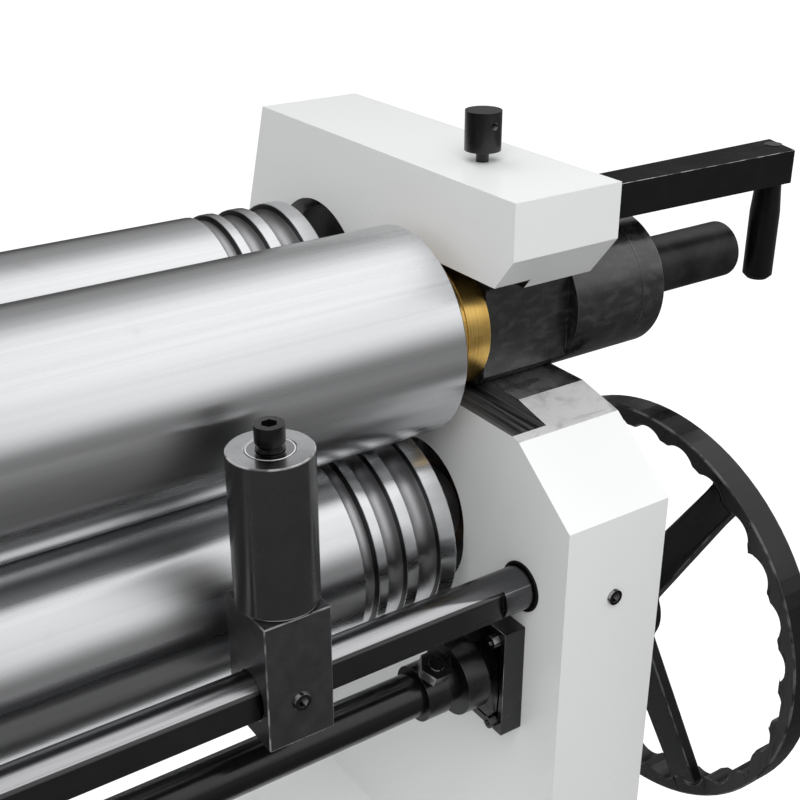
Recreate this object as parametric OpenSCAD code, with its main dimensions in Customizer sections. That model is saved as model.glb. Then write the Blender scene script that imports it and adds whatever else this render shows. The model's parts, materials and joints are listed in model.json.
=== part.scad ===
// Slip roll machine: three rolls between two end frames, with a swing-out upper roll.
// All lengths are millimetres. +X runs along the rolls to the open end, +Y to the back, +Z up.
// The origin is on the floor, in the middle of the foot bolts.

/* [Stand] */
// Distance between the foot bolts from front to back
foot_depth = 360; // [340:5:400]
// Diameter of the foot bolt holes
foot_hole_d = 18; // [12:1:24]
// Thickness of the foot plates
foot_plate_t = 12; // [8:1:20]
// Margin of a foot plate round its bolt holes
foot_margin = 32; // [24:1:40]
// Length of the right pedestal along the machine
right_pedestal_len = 290; // [240:10:320]
// Length of the left pedestal along the machine
left_pedestal_len = 500; // [460:10:540]
// Depth of the pedestals and the bed from front to back
stand_depth = 296; // [290:2:310]
// Wall of the pedestals and the bed
stand_wall = 8; // [5:1:12]
// Height of the bed beam
bed_h = 90; // [70:5:120]
// Distance of the right foot bolts beyond the right frame
foot_beyond = 22; // [16:1:30]
// Distance of the left foot bolts inside the drive cabinet's end
foot_inside = 58; // [50:1:70]
// Distance of the right foot bolts from the bed's right end
foot_edge = 10; // [8:1:16]

/* [End frames] */
// Clear distance between the two end frames
frame_gap = 1340; // [1240:10:1360]
// Thickness of an end frame
frame_t = 78; // [74:1:84]
// Height of the top of the frames above the floor
jaw_height = 1150; // [1100:10:1250]
// Height of an end frame
frame_h = 540; // [500:10:560]
// Distance of the jaw's front face in front of the machine's middle
jaw_front = 87.5; // [80:0.5:95]
// Height of the jaw's upright front face
jaw_face = 34; // [28:1:40]
// How far the jaw's slanted underside runs back
jaw_under = 21.5; // [15:0.5:28]
// Depth of the top of the bearing slot below the top of the frame
slot_drop = 61; // [58:0.5:64]
// How far the lip of the slot's floor stands in front of the jaw
lip_front = 11.5; // [8:0.5:14]
// Drop of the lip below the slot's floor
lip_drop = 8; // [5:0.5:10]
// How far the frame's front face stands in front of the jaw
front_step = 60; // [50:1:66]
// Depth of the frame's front shoulder below its top
shoulder_drop = 180; // [170:1:190]
// Length of the frame's level top
top_len = 287; // [280:1:300]
// Depth of the frame's rear ledge below its top
ledge_drop = 300; // [296:1:310]
// Width of the recess for the thrust ring
rebate_w = 26; // [22:1:30]

/* [Rolls] */
// Diameter of the three rolls
roll_d = 130; // [124:0.5:131]
// Distance of the upper roll's axis behind the jaw's front face
upper_back = 81; // [78:0.5:84]
// Depth of the upper roll's axis below the top of the frame
upper_drop = 97; // [95:0.5:99]
// Distance of the lower roll's axis behind the jaw's front face
lower_back = 85; // [83:0.5:88]
// Gap between the upper and the lower roll
roll_gap = 4; // [3.8:0.1:6]
// Distance of the rear roll's axis behind the jaw's front face
rear_back = 218; // [216:0.5:224]
// Depth of the rear roll's axis below the top of the frame
rear_drop = 116; // [112:0.5:122]
// Gap from the end of the upper roll to the frame
upper_end_gap = 17; // [15:0.5:20]
// Gap from the end of the lower and rear rolls to the frame
lower_end_gap = 19; // [16:0.5:22]
// Bevel at the ends of the rolls
roll_edge = 1.2; // [0.5:0.1:2]
// Diameter of the roll journals
journal_d = 50; // [46:1:51]
// Wall of the bearing bushes
bush_wall = 6; // [4:0.5:6.5]
// Radii of the three wire grooves, from the frame inwards
groove_r = [8.4, 7, 5];
// Places of the three wire grooves, from the frame inwards
groove_at = [40, 63.5, 82];

/* [Upper roll release] */
// Height and depth of the square part of the bearing housing
block_side = 72; // [70:0.5:74]
// Diameter of the round part of the bearing housing
housing_d = 92; // [88:1:94]
// Length of the round part of the bearing housing
housing_len = 75; // [65:1:85]
// Thickness of the cap on the end of the housing
cap_t = 19.5; // [12:0.5:24]
// Gap between the frame and the round part of the housing
shoulder_gap = 5; // [4.5:0.5:8]
// Diameter of the bare stub of the upper roll
stub_d = 40; // [34:1:42]
// Length of the bare stub of the upper roll
stub_len = 101; // [80:1:110]
// Diameter of the brass thrust rings
ring_d = 84; // [80:1:85]
// Diameter of the lock screw
lock_d = 8; // [6:1:10]
// Diameter of the lock screw's knob
lock_knob_d = 22.5; // [18:0.5:28]
// Height of the lock screw's knob
lock_knob_h = 24; // [16:1:34]
// Height of the bare thread under the knob
lock_rise = 7; // [5:1:14]
// Distance of the lever's pin from the frame's outer face
lever_out = 20; // [18:1:26]
// Distance of the lever's pin behind the jaw's front face
lever_back = 60; // [57:0.5:62]
// Width of the lever bar at its root
lever_w = 25; // [22:0.5:27]
// Height of the lever bar
lever_h = 23; // [20:0.5:24]
// Depth of the lever's top below the top of the frame
lever_drop = 19.5; // [18:0.5:20]
// Distance of the lever's handle from its pin
lever_reach = 181; // [172:1:200]
// Length of the lever's handle
handle_len = 74.5; // [60:0.5:90]
// Diameter of the top of the handle
handle_top_d = 17.5; // [16:0.5:20]
// Diameter of the foot of the handle
handle_foot_d = 21; // [18:0.5:24]

/* [Guide for cones] */
// Diameter of the guide's shaft
guide_shaft_d = 28; // [24:0.5:30]
// Distance of the guide's shaft in front of the jaw
guide_front = 20.2; // [18:0.2:24]
// Depth of the guide's shaft below the top of the frame
guide_drop = 236; // [230:1:240]
// Distance of the guide roller from the right end frame
guide_at = 166.2; // [150:0.2:300]
// Length of the guide block along the shaft
guide_block_len = 40; // [36:1:48]
// Depth of the guide block from front to back
guide_block_depth = 43; // [40:0.5:45]
// Distance of the middle of the guide block behind its shaft
guide_block_back = 2.2; // [1:0.1:3]
// Height of the guide block above its shaft
guide_block_up = 53; // [46:1:56]
// Diameter of the guide roller
guide_roller_d = 46; // [40:0.5:47]
// Length of the guide roller
guide_roller_len = 88.5; // [70:0.5:96]
// Diameter of the guide roller's screw
guide_screw_d = 10; // [8:0.5:12]

/* [Handwheel and lift] */
// Diameter of the handwheel
wheel_d = 282; // [240:2:300]
// Width of the handwheel's rim along its axis
wheel_rim_w = 20; // [16:0.5:24]
// Thickness of the handwheel's rim, outside in
wheel_rim_t = 12.5; // [10:0.5:16]
// Distance of the handwheel from the frame's outer face
wheel_out = 39; // [30:1:60]
// Diameter of the cross shaft
cross_d = 28; // [24:0.5:30]
// Depth of the cross shaft below the top of the frame
cross_drop = 302; // [300:0.5:304]
// Thickness of the worm wheels
worm_wheel_t = 18; // [12:1:19]
// Diameter of the lift screws
lift_screw_d = 20; // [16:1:24]
// How far the lower roll can rise
lift_up = 3.5; // [1:0.1:3.6]
// How far the lower roll can fall
lift_down = 6; // [3:0.5:6]
// How far the rear roll can rise
rear_up = 8; // [1:0.5:8.5]
// How far the rear roll can fall
rear_down = 90; // [60:1:92]
// Diameter of the rear roll's star knobs
star_d = 76; // [70:1:77]

/* [Drive] */
// Width of the gears
gear_w = 32; // [26:1:34]
// Gap between the left frame and the gears
gear_gap = 14; // [12:1:18]
// Teeth of each roll gear
roll_teeth = 16; // [14:1:18]
// Teeth of the drive pinion
pinion_teeth = 10; // [9:1:11]
// Length of the drive cabinet
cabinet_len = 380; // [360:5:382]
// Thickness of the cabinet's sheet
cabinet_t = 2.5; // [2:0.5:4]
// Diameter of the motor
motor_d = 170; // [150:2:180]
// Diameter of the stop button
stop_d = 40; // [32:1:46]

/* [Hidden] */
$fn = 96;
// Clearance of a shaft in its bearing, on the radius
fit = 0.05;
// Clearance of sliding flats and round sliders in their slots
slide_fit = 0.3;
// Overrun of every cut
over = 1;
// Share of a screw's head height to its thread
head_share = 1;
// Share of a screw's head diameter to its thread
head_d_share = 1.6;
// Share of the hexagon's size to the thread
hex_share = 0.9;

// Distance between the outer foot bolts, along the rolls
foot_span = frame_gap + 2 * frame_t + cabinet_len + foot_beyond - foot_inside;
// Distance of the frames' middle from the origin, towards the open end
frames_mid = (foot_span - frame_gap) / 2 - frame_t - foot_beyond;
// End of the drive cabinet, where its side cover starts
cabinet_end = frames_mid - frame_gap / 2 - frame_t - cabinet_len;
roll_r = roll_d / 2;
journal_r = journal_d / 2;
bush_r = journal_r + bush_wall;
frame_mid = frame_t / 2;
outer_face = frame_t;
bed_top = jaw_height - frame_h;
pedestal_h = bed_top - bed_h - foot_plate_t;
slot_h = block_side + 2 * slide_fit;
slot_top = -(upper_drop - slot_h / 2);
slot_floor = slot_top - slot_h;
slot_depth = upper_back + block_side / 2 + 1.5;
rear_lean = 19.2;
lower_rise = sqrt(pow(roll_d + roll_gap, 2) - pow(lower_back - upper_back, 2));
lower_drop = upper_drop + lower_rise;
// Slider radii and faces, in the thickness of the frame
lower_slider_r = 45.4;
rear_slider_r = 56.8;
slider_from = 12;
slider_to = 66;
journal_end = 70;
// Worm wheels, their screws and the pockets that hold them
worm_pocket_gap = 2;
lift_screw_back = lower_back - 8;
wheel_wall = 4.5;
wheel_gap = 0.5;
wheel_tip_r = frame_mid - wheel_wall;
worm_r = lift_screw_back - wheel_tip_r - wheel_gap;
worm_root_r = worm_r - 6;
worm_len = 46;
worm_pitch = 9.6;
worm_ridges = 3;
worm_ridge_w = 4;
wheel_slots = 21;
wheel_slot_w = 5;
wheel_slot_depth = 6;
pocket_gap = 1.5;
pocket_from = 14;
screw_foot = 14;
lift_nut_depth = 13;
lift_screw_top_gap = 7;
// Rear screws
rear_screw_d = 20;
rear_socket = 12;
rear_screw_len = 216;
star_h = 24;
star_lobes = 6;
star_cut_r = 18;
star_cut_share = 1.16;
star_edge = 3;
// Frame details
foot_len = stand_depth - 1;
window_side_y = 101;
window_side_z = 100.6;
swivel_depth = 90;
swivel_h = 100;
swivel_len = 70;
swivel_pin_d = 28;
swivel_pin_in = 15;
swivel_pin_foot = 22;
swivel_cap_d = 40;
swivel_cap_h = 5;
rebate_h = ring_d + 1.6;
// Lever bracket and pin
bracket_plate = 4.6;
bracket_len = 36;
bracket_w = 46;
bracket_back = 4;
bracket_foot = 5;
bracket_bolt_out = 17;
bracket_head = 2;
bracket_grip = 20;
bracket_gap = 0.5;
lever_pin_d = 14;
lever_foot_gap = 0.4;
lever_skew = 10;
lever_front_out = 18.4;
lever_back_out = 13;
rivet_back = 0.9;
rivet_d = 12;
rivet_h = 0.4;
handle_neck = 2;
handle_round = 3;
bracket_bolt_d = 6;
// Housing details
ring_split = 0.6;
ring_gap = 0.2;
stub_edge = 2;
cap_bore_gap = 0.4;
lock_cross_d = 5;
lock_foot_gap = 0.2;
// Guide details
guide_block_down = 26;
guide_block_face = guide_block_depth / 2 - guide_block_back;
guide_flat_depth = 4;
guide_flat_end = 22;
guide_hole_depth = 60;
guide_set_d = 10;
guide_set_out = 2;
guide_bearing_d = 26;
guide_bearing_w = 8;
guide_core_gap = 2;
guide_foot_gap = 1.3;
guide_washer_d = 15.5;
guide_washer_t = 0.6;
guide_neck = 4.1;
guide_neck_d = 12;
guide_screw_in = 30;
// Cross shaft and handwheel details
wheel_hub_d = 57;
wheel_hub_from = 22;
wheel_hub_to = 40;
// The wheel is dished: its spokes lean outwards from the hub to the rim
wheel_spoke_in = 1;
wheel_dish = 12;
wheel_spoke_t = 9;
wheel_spoke_root = 30;
wheel_spoke_tip = 21;
wheel_spokes = 3;
wheel_spoke_angle = 59;
wheel_grips = 27;
wheel_grip_r = 15;
wheel_grip_depth = 4.5;
wheel_bolt_d = 10;
wheel_washer_d = 34;
wheel_washer_t = 4;
pad_t = 16;
pad_w = 52;
pad_h = 78;
pad_up = 39;
pad_bolt_d = 5;
pad_bolt_in = 8;
pad_bolt_grip = 12;
collar_d = 47;
collar_w = 16;
collar_at = 24;
stop_collar_d = 36;
stop_collar_at = 50;
stop_bolt_d = 10;
stop_bolt_len = 30;
stop_bolt_angle = 25;
stop_nut_at = 22;
stop_nut_h = 8;
hex_across_share = 1.85;
cover_t = 6;
cover_front = 52;
cover_back = 155;
cover_top = 168;
cover_bottom = 354;
cover_bolt_in = 12;
cover_bolt_d = 6;
// The cover's front top corner is cut off, to stay behind the frame's shoulder
cover_cut = 24;
cover_bolt_places = [
    [-cover_front + cover_bolt_in, -cover_top - cover_cut - cover_bolt_in / 2],
    [cover_back - cover_bolt_in, -cover_top - cover_bolt_in],
    [-cover_front + cover_bolt_in, -cover_bottom + cover_bolt_in],
    [cover_back - cover_bolt_in, -cover_bottom + cover_bolt_in]
];
// Gears
gear_pitch_r = (roll_d + roll_gap) / 2;
gear_addendum = 5;
gear_dedendum = 10;
gear_root_w = 13;
gear_tip_w = 5;
pinion_pitch_r = gear_pitch_r * pinion_teeth / roll_teeth;
pinion_slack = 0.8;
pinion_dedendum = 9;
pinion_root_w = 12;
pinion_angle = -15;
gear_from = frame_t + gear_gap;
gear_to = gear_from + gear_w;
hub_r = 40;
hub_len = 12;
tongue_w = 18;
tongue_h = 42;
tongue_slot_w = 40;
tongue_slot_h = 50;
tongue_len = 26;
tongue_slot_depth = 12;
gear_shaft_r = 20;
lower_tail_r = 22;
lower_tail_end = 132;
pinion_shaft_r = 15;
plate_from = gear_to + 16;
plate_t = 12;
plate_front = -20;
plate_back = 275;
plate_top = 2;
post_front = 23;
post_top = 30;
plate_bottom = 300;
plate_corner = 18;
post_r = 10;
gearbox_side = 150;
// Room between the motor and the cabinet's side cover
motor_room = 41;
drive_len = frame_t + cabinet_len - plate_from - plate_t - motor_room;
gearbox_len = drive_len * 25 / 53;
gearbox_edge = 14;
motor_len = drive_len - gearbox_len;
motor_fins = 24;
motor_fin_h = 6;
motor_fin_w = 3;
cabinet_front = 86;
cabinet_back = 306;
cabinet_top = 16;
lip_w = 20;
panel_w = 130;
panel_h = 190;
panel_t = 26;
panel_at = 190;
panel_drop = 90;
panel_edge = 6;
stop_h = 22;
stop_travel = 6;
stop_neck_d = 22;
stop_drop = 55;
switch_d = 30;
switch_h = 18;
switch_drop = 130;
switch_grip_w = 8;
switch_neck_d = 12;
neck_in = 10;
frame_bolt_d = 16;
frame_bolt_len = frame_t * 10 / 13;
frame_bolt_front = 40;
frame_bolt_back = 180;
// Pedestal details
pedestal_right_x = foot_span / 2 - right_pedestal_len / 2 + foot_edge;
pedestal_left_x = cabinet_end - cabinet_t + left_pedestal_len / 2;
inner_foot_in = 34;
right_inner_x = pedestal_right_x - right_pedestal_len / 2 + inner_foot_in;
left_inner_x = pedestal_left_x + left_pedestal_len / 2 - inner_foot_in;
plate_right_end = foot_span / 2 + foot_margin;
panel_recess = 2;
panel_margin = 30;

// Places: x outwards from a frame's inner face, y back from the jaw, z up from the frame's top
module at_right() translate([frames_mid + frame_gap / 2, -jaw_front, jaw_height]) children();
module at_left() translate([frames_mid - frame_gap / 2, -jaw_front, jaw_height])
    mirror([1, 0, 0]) children();
module both_ends() { at_right() children(); at_left() children(); }

// Solids that lie along the rolls, given by where they start and end
module rod(r, from, to) translate([from, 0, 0]) rotate([0, 90, 0]) cylinder(h = to - from, r = r);
module cone(r1, r2, from, to) translate([from, 0, 0]) rotate([0, 90, 0])
    cylinder(h = to - from, r1 = r1, r2 = r2);
module tube(r, bore, from, to) difference() {
    rod(r, from, to);
    rod(bore, from - over, to + over);
}
module slab(from, to) translate([from, 0, 0]) rotate([90, 0, 90]) linear_extrude(to - from) children();
module at(back, drop) translate([0, back, -drop]) children();
module box_between(a, b) translate(a) cube(b - a);

// A socket screw standing on its thread's end, its head up
module socket_screw(d, thread, head = 0) {
    head_h = head > 0 ? head : d * head_share;
    difference() {
        union() {
            cylinder(h = thread + head_h, r = d / 2);
            translate([0, 0, thread]) cylinder(h = head_h, r = d * head_d_share / 2);
        }
        translate([0, 0, thread + head_h / 2])
            cylinder(h = head_h, r = d * hex_share / 2, $fn = 6);
    }
}
module headless_screw(d, len) difference() {
    cylinder(h = len, r = d / 2);
    translate([0, 0, len - d * hex_share / 2]) cylinder(h = d, r = d * hex_share / 3, $fn = 6);
}

// End frames
function frame_front_points() = [
    [-front_step, -frame_h], [-front_step, -shoulder_drop],
    [-lip_front, slot_floor - lip_drop]
];
function frame_back_points() = [
    [top_len, 0], [top_len + tan(rear_lean) * ledge_drop, -ledge_drop],
    [foot_len - front_step, -ledge_drop], [foot_len - front_step, -frame_h]
];
module right_outline() polygon(concat(
    frame_front_points(),
    [[jaw_under, slot_floor], [slot_depth, slot_floor], [slot_depth, slot_top],
     [jaw_under, slot_top], [0, -jaw_face], [0, 0]],
    frame_back_points()));
module left_outline() polygon(concat(frame_front_points(), [[0, slot_floor], [0, 0]],
    frame_back_points()));

module frame_holes() {
    // Upright slot for the lower roll's bearing, leaning slot for the rear roll's bearing
    round_slot(lower_slider_r + slide_fit, lower_back, lower_drop, lift_up, lift_down, 0);
    round_slot(rear_slider_r + slide_fit, rear_back, rear_drop, rear_up, rear_down, rear_lean);
    // Blind hole and lock screw for the guide's shaft
    at(-guide_front, guide_drop) rod(guide_shaft_d / 2 + fit, -over, guide_hole_depth);
    at(-guide_front, guide_drop) translate([frame_mid, 0, 0]) rotate([90, 0, 0])
        cylinder(h = front_step, r = guide_set_d / 2 + fit);
    // Cross shaft, worm and worm wheel
    at(0, cross_drop) rod(cross_d / 2 + over, -over, frame_t + over);
    at(0, cross_drop) rod(worm_r + worm_pocket_gap, pocket_from, frame_t + over);
    at(lift_screw_back, cross_drop) translate([frame_mid, 0, 0]) worm_wheel_room();
    at_cross() pad_corners() translate([pad_t - over, 0, 0]) rotate([0, 90, 0])
        cylinder(h = pad_bolt_grip + over, r = pad_bolt_d / 2 + fit);
    // Rear screw
    at(rear_back, rear_drop) rotate([rear_lean, 0, 0]) translate([frame_mid, 0, 0])
        mirror([0, 0, 1]) cylinder(h = ledge_drop, r = rear_screw_d / 2 + fit);
    // Foot bolts
    for (y = [frame_bolt_front, frame_bolt_back]) translate([frame_mid, y - front_step, -frame_h - over])
        cylinder(h = frame_bolt_len, r = frame_bolt_d / 2 + fit);
}
// A slot with round ends, through the frame, from up above the rest place to down below it
module round_slot(r, back, drop, up, down, lean) at(back, drop) rotate([lean, 0, 0]) {
    top = up + slide_fit;
    bottom = down + slide_fit;
    translate([0, 0, top]) rod(r, -over, frame_t + over);
    translate([0, 0, -bottom]) rod(r, -over, frame_t + over);
    box_between([-over, -r, -bottom], [frame_t + over, r, top]);
}
module worm_wheel_room() {
    half = worm_wheel_t / 2 + pocket_gap;
    room_r = wheel_tip_r + pocket_gap;
    translate([0, 0, -half]) cylinder(h = 2 * half, r = room_r);
    box_between([0, -room_r, -half], [frame_mid + over, room_r, half]);
    // Foot bearing of the lift screw, and its way up into the slot
    translate([0, 0, -half - screw_foot]) cylinder(h = screw_foot + half, r = lift_screw_d / 2 + fit);
    cylinder(h = cross_drop - lower_drop - lower_slider_r, r = lift_screw_d / 2 + fit);
}
module right_end_frame() color("whitesmoke") at_right() difference() {
    slab(0, frame_t) right_outline();
    frame_holes();
    box_between([-over, -front_step, -upper_drop - rebate_h / 2],
        [rebate_w, upper_back + rebate_h / 2, -upper_drop + rebate_h / 2]);
    translate([frame_mid, upper_back, slot_top - over]) cylinder(h = upper_drop, r = lock_d / 2 + fit);
    at_bracket() bracket_bolts() translate([0, 0, -over])
        cylinder(h = bracket_grip + 2 * over, r = bracket_bolt_d / 2 + fit);
    cover_bolts() cylinder(h = frame_mid, r = cover_bolt_d / 2 + fit);
}
module left_end_frame() color("whitesmoke") at_left() difference() {
    slab(0, frame_t) left_outline();
    frame_holes();
    box_between([-over, upper_back - window_side_y / 2, -upper_drop - window_side_z / 2],
        [frame_t + over, upper_back + window_side_y / 2, -upper_drop + window_side_z / 2]);
    translate([frame_mid, upper_back, -upper_drop - window_side_z / 2 - swivel_pin_foot - over])
        cylinder(h = upper_drop + window_side_z, r = swivel_pin_d / 2 + fit);
}
// Bolts between the frames and the bed, up from inside the bed
module frame_bolts() color("dimgray") both_ends()
    for (y = [frame_bolt_front, frame_bolt_back])
        translate([frame_mid, y - front_step, -frame_h + frame_bolt_len - 2 * over])
            mirror([0, 0, 1]) socket_screw(frame_bolt_d, frame_bolt_len + stand_wall - 2 * over);

// Stand
module bed() color("whitesmoke") {
    left_x = pedestal_left_x - left_pedestal_len / 2;
    right_x = pedestal_right_x + right_pedestal_len / 2;
    difference() {
        box_between([left_x, -stand_depth / 2, bed_top - bed_h], [right_x, stand_depth / 2, bed_top]);
        box_between([left_x + stand_wall, -stand_depth / 2 + stand_wall, bed_top - bed_h - over],
            [right_x - stand_wall, stand_depth / 2 - stand_wall, bed_top - stand_wall]);
        both_ends() for (y = [frame_bolt_front, frame_bolt_back])
            translate([frame_mid, y - front_step, -frame_h - frame_bolt_len / 2])
                cylinder(h = frame_bolt_len, r = frame_bolt_d / 2 + fit);
    }
}
module pedestal(x, len, outer_x, inner_x) {
    half = stand_depth / 2;
    plate_low = min(outer_x, inner_x) - foot_margin;
    plate_high = max(outer_x, inner_x) + foot_margin;
    difference() {
        union() {
            box_between([x - len / 2, -half, foot_plate_t], [x + len / 2, half, foot_plate_t + pedestal_h]);
            box_between([plate_low, -foot_depth / 2 - foot_margin, 0],
                [plate_high, foot_depth / 2 + foot_margin, foot_plate_t]);
        }
        box_between([x - len / 2 + stand_wall, -half + stand_wall, foot_plate_t],
            [x + len / 2 - stand_wall, half - stand_wall, foot_plate_t + pedestal_h + over]);
        // A pressed panel in the front
        box_between([x - len / 2 + panel_margin, -half - over, foot_plate_t + panel_margin],
            [x + len / 2 - panel_margin, -half + panel_recess, foot_plate_t + pedestal_h - panel_margin]);
        for (hole_x = [outer_x, inner_x]) for (side = [-1, 1])
            translate([hole_x, side * foot_depth / 2, -over])
                cylinder(h = foot_plate_t + 2 * over, r = foot_hole_d / 2);
    }
}
module right_pedestal() color("whitesmoke")
    pedestal(pedestal_right_x, right_pedestal_len, foot_span / 2, right_inner_x);
module left_pedestal() color("whitesmoke")
    pedestal(pedestal_left_x, left_pedestal_len, -foot_span / 2, left_inner_x);

// Rolls: a ground body with wire grooves near the ends
module roll_body(half, grooves) difference() {
    union() {
        rod(roll_r, -half + roll_edge, half - roll_edge);
        cone(roll_r - roll_edge, roll_r, -half, -half + roll_edge);
        cone(roll_r, roll_r - roll_edge, half - roll_edge, half);
    }
    if (grooves) for (i = [0 : len(groove_r) - 1])
        translate([frame_gap / 2 - groove_at[i], 0, 0]) rotate([0, 90, 0])
            rotate_extrude() translate([roll_r, 0]) circle(r = groove_r[i], $fn = 48);
}
module at_middle(back, drop) translate([frames_mid, back - jaw_front, jaw_height - drop]) children();

module upper_roll() color("silver") {
    half = frame_gap / 2 - upper_end_gap;
    bearing_end = outer_face + shoulder_gap + housing_len - cap_t;
    stub_from = outer_face + shoulder_gap + housing_len;
    stub_to = stub_from + stub_len;
    at_middle(upper_back, upper_drop) roll_body(half, false);
    at_right() at(upper_back, upper_drop) {
        rod(journal_r, -upper_end_gap - over, bearing_end - slide_fit);
        rod(stub_d / 2, -upper_end_gap, stub_to - stub_edge);
        cone(stub_d / 2, stub_d / 2 - stub_edge, stub_to - stub_edge, stub_to);
    }
    at_left() at(upper_back, upper_drop) {
        tail = frame_mid + swivel_len / 2;
        rod(journal_r, -upper_end_gap - over, tail);
        intersection() {
            rod(journal_r, -over, tail + tongue_len);
            box_between([tail - over, -tongue_w / 2, -tongue_h / 2],
                [tail + tongue_len, tongue_w / 2, tongue_h / 2]);
        }
    }
}
module lower_roll() color("silver") {
    at_middle(lower_back, lower_drop) roll_body(frame_gap / 2 - lower_end_gap, true);
    at_right() at(lower_back, lower_drop) rod(journal_r, -lower_end_gap - over, journal_end);
    at_left() at(lower_back, lower_drop) {
        rod(journal_r, -lower_end_gap - over, journal_end);
        rod(lower_tail_r, -lower_end_gap, lower_tail_end);
    }
}
module rear_roll() color("silver") {
    at_middle(rear_back, rear_drop) roll_body(frame_gap / 2 - lower_end_gap, true);
    both_ends() at(rear_back, rear_drop) rod(journal_r, -lower_end_gap - over, journal_end);
}

// Upper roll's right bearing: square where it sits in the slot, round outside the frame
module bearing_housing() color("#2a2a2c") at_right() at(upper_back, upper_drop) {
    round_from = outer_face + shoulder_gap;
    round_to = round_from + housing_len - cap_t;
    difference() {
        union() {
            intersection() {
                rod(housing_d / 2, upper_end_gap, round_from + over);
                box_between([upper_end_gap, -block_side / 2, -block_side / 2],
                    [round_from + over, block_side / 2, block_side / 2]);
            }
            rod(housing_d / 2, round_from, round_to);
        }
        rod(bush_r + fit, upper_end_gap - over, round_to + over);
    }
}
module housing_cap() color("#2a2a2c") at_right() at(upper_back, upper_drop) {
    to = outer_face + shoulder_gap + housing_len;
    tube(housing_d / 2, stub_d / 2 + cap_bore_gap, to - cap_t, to);
}
module thrust_rings() color("goldenrod") {
    ring = upper_end_gap - ring_split / 2;
    at_right() at(upper_back, upper_drop) {
        tube(ring_d / 2, journal_r + fit, ring_split / 2, upper_end_gap);
        tube(ring_d / 2, journal_r + fit, -upper_end_gap + ring_gap, -ring_split / 2);
        tube(ring_d / 2 - ring_split, journal_r + fit, -ring_split / 2, ring_split / 2);
    }
    at_left() at(upper_back, upper_drop)
        tube(ring_d / 2, journal_r + fit, -upper_end_gap + ring_gap, frame_mid - swivel_len / 2);
}
module upper_bushes() color("peru") {
    at_right() at(upper_back, upper_drop)
        tube(bush_r, journal_r + fit, upper_end_gap, outer_face + shoulder_gap + housing_len - cap_t);
    at_left() at(upper_back, upper_drop)
        tube(bush_r, journal_r + fit, frame_mid - swivel_len / 2, frame_mid + swivel_len / 2);
}
// Upper roll's left bearing: a block that turns on two upright pins
module swivel_block() color("#2a2a2c") at_left() at(upper_back, upper_drop) difference() {
    box_between([frame_mid - swivel_len / 2, -swivel_depth / 2, -swivel_h / 2],
        [frame_mid + swivel_len / 2, swivel_depth / 2, swivel_h / 2]);
    rod(bush_r + fit, 0, frame_t);
    for (side = [0, 1]) mirror([0, 0, side]) translate([frame_mid, 0, swivel_h / 2 - swivel_pin_in])
        cylinder(h = swivel_pin_in + over, r = swivel_pin_d / 2 + fit);
}
module swivel_pins() color("dimgray") at_left() translate([frame_mid, upper_back, -upper_drop]) {
    top = upper_drop - swivel_h / 2 + swivel_pin_in;
    translate([0, 0, swivel_h / 2 - swivel_pin_in]) cylinder(h = top, r = swivel_pin_d / 2);
    translate([0, 0, upper_drop + slide_fit]) cylinder(h = swivel_cap_h, r = swivel_cap_d / 2);
    translate([0, 0, upper_drop - over]) cylinder(h = swivel_cap_h, r = swivel_pin_d / 2);
    translate([0, 0, -swivel_h / 2 - swivel_pin_foot])
        cylinder(h = swivel_pin_foot + swivel_pin_in, r = swivel_pin_d / 2);
}

// Lock screw, down through the jaw onto the housing
module lock_screw() color("#232325") at_right() translate([frame_mid, upper_back, slot_top + lock_foot_gap])
    cylinder(h = -slot_top + lock_rise, r = lock_d / 2);
module lock_knob() color("#232325") at_right() translate([frame_mid, upper_back, lock_rise]) difference() {
    cylinder(h = lock_knob_h, r = lock_knob_d / 2);
    translate([0, 0, -over]) cylinder(h = over + lock_foot_gap, r = lock_d / 2 + fit);
    translate([0, lock_knob_d, lock_knob_h * 2 / 3]) rotate([90, 0, 0])
        cylinder(h = 2 * lock_knob_d, r = lock_cross_d / 2);
}

// Release lever on its bracket, with its pin down onto the housing
module at_bracket() at(lever_back, lever_drop + lever_h / 2) children();
// Bolt places on the frame's outer face, with z into the frame
module bracket_bolts() for (side = [-1, 1])
    translate([frame_t, side * bracket_bolt_out, 0]) rotate([0, -90, 0]) children();
module lever_bracket() color("#232325") at_right() at_bracket() difference() {
    half = lever_h / 2 + bracket_gap;
    union() {
        box_between([outer_face, -bracket_w / 2, -half - bracket_foot],
            [outer_face + bracket_back, bracket_w / 2, half + bracket_plate]);
        box_between([outer_face, -bracket_w / 2, half],
            [outer_face + bracket_len, bracket_w / 2, half + bracket_plate]);
        box_between([outer_face, -bracket_w / 2, -half - bracket_foot],
            [outer_face + bracket_len, bracket_w / 2, -half]);
    }
    translate([outer_face + lever_out, 0, -lever_h]) cylinder(h = 2 * lever_h, r = lever_pin_d / 2 + fit);
    bracket_bolts() translate([0, 0, -bracket_back - over]) {
        cylinder(h = 2 * bracket_back, r = bracket_bolt_d / 2 + fit);
        cylinder(h = bracket_head + over + slide_fit, r = bracket_bolt_d * head_d_share / 2 + slide_fit);
    }
}
module release_lever() color("#232325") at_right()
    translate([outer_face + lever_out, lever_back, -lever_drop - lever_h]) difference() {
        linear_extrude(lever_h) union() {
            circle(r = lever_w / 2);
            polygon([
                [0, -lever_w / 2], [lever_reach, -lever_front_out],
                [lever_reach + lever_skew, lever_back_out], [0, lever_w / 2]
            ]);
        }
        translate([0, 0, -over]) cylinder(h = lever_h + 2 * over, r = lever_pin_d / 2 + fit);
        translate([lever_reach, rivet_back, -over])
            cylinder(h = lever_h + 2 * over, r = rivet_d / 2 + fit);
    }
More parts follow.
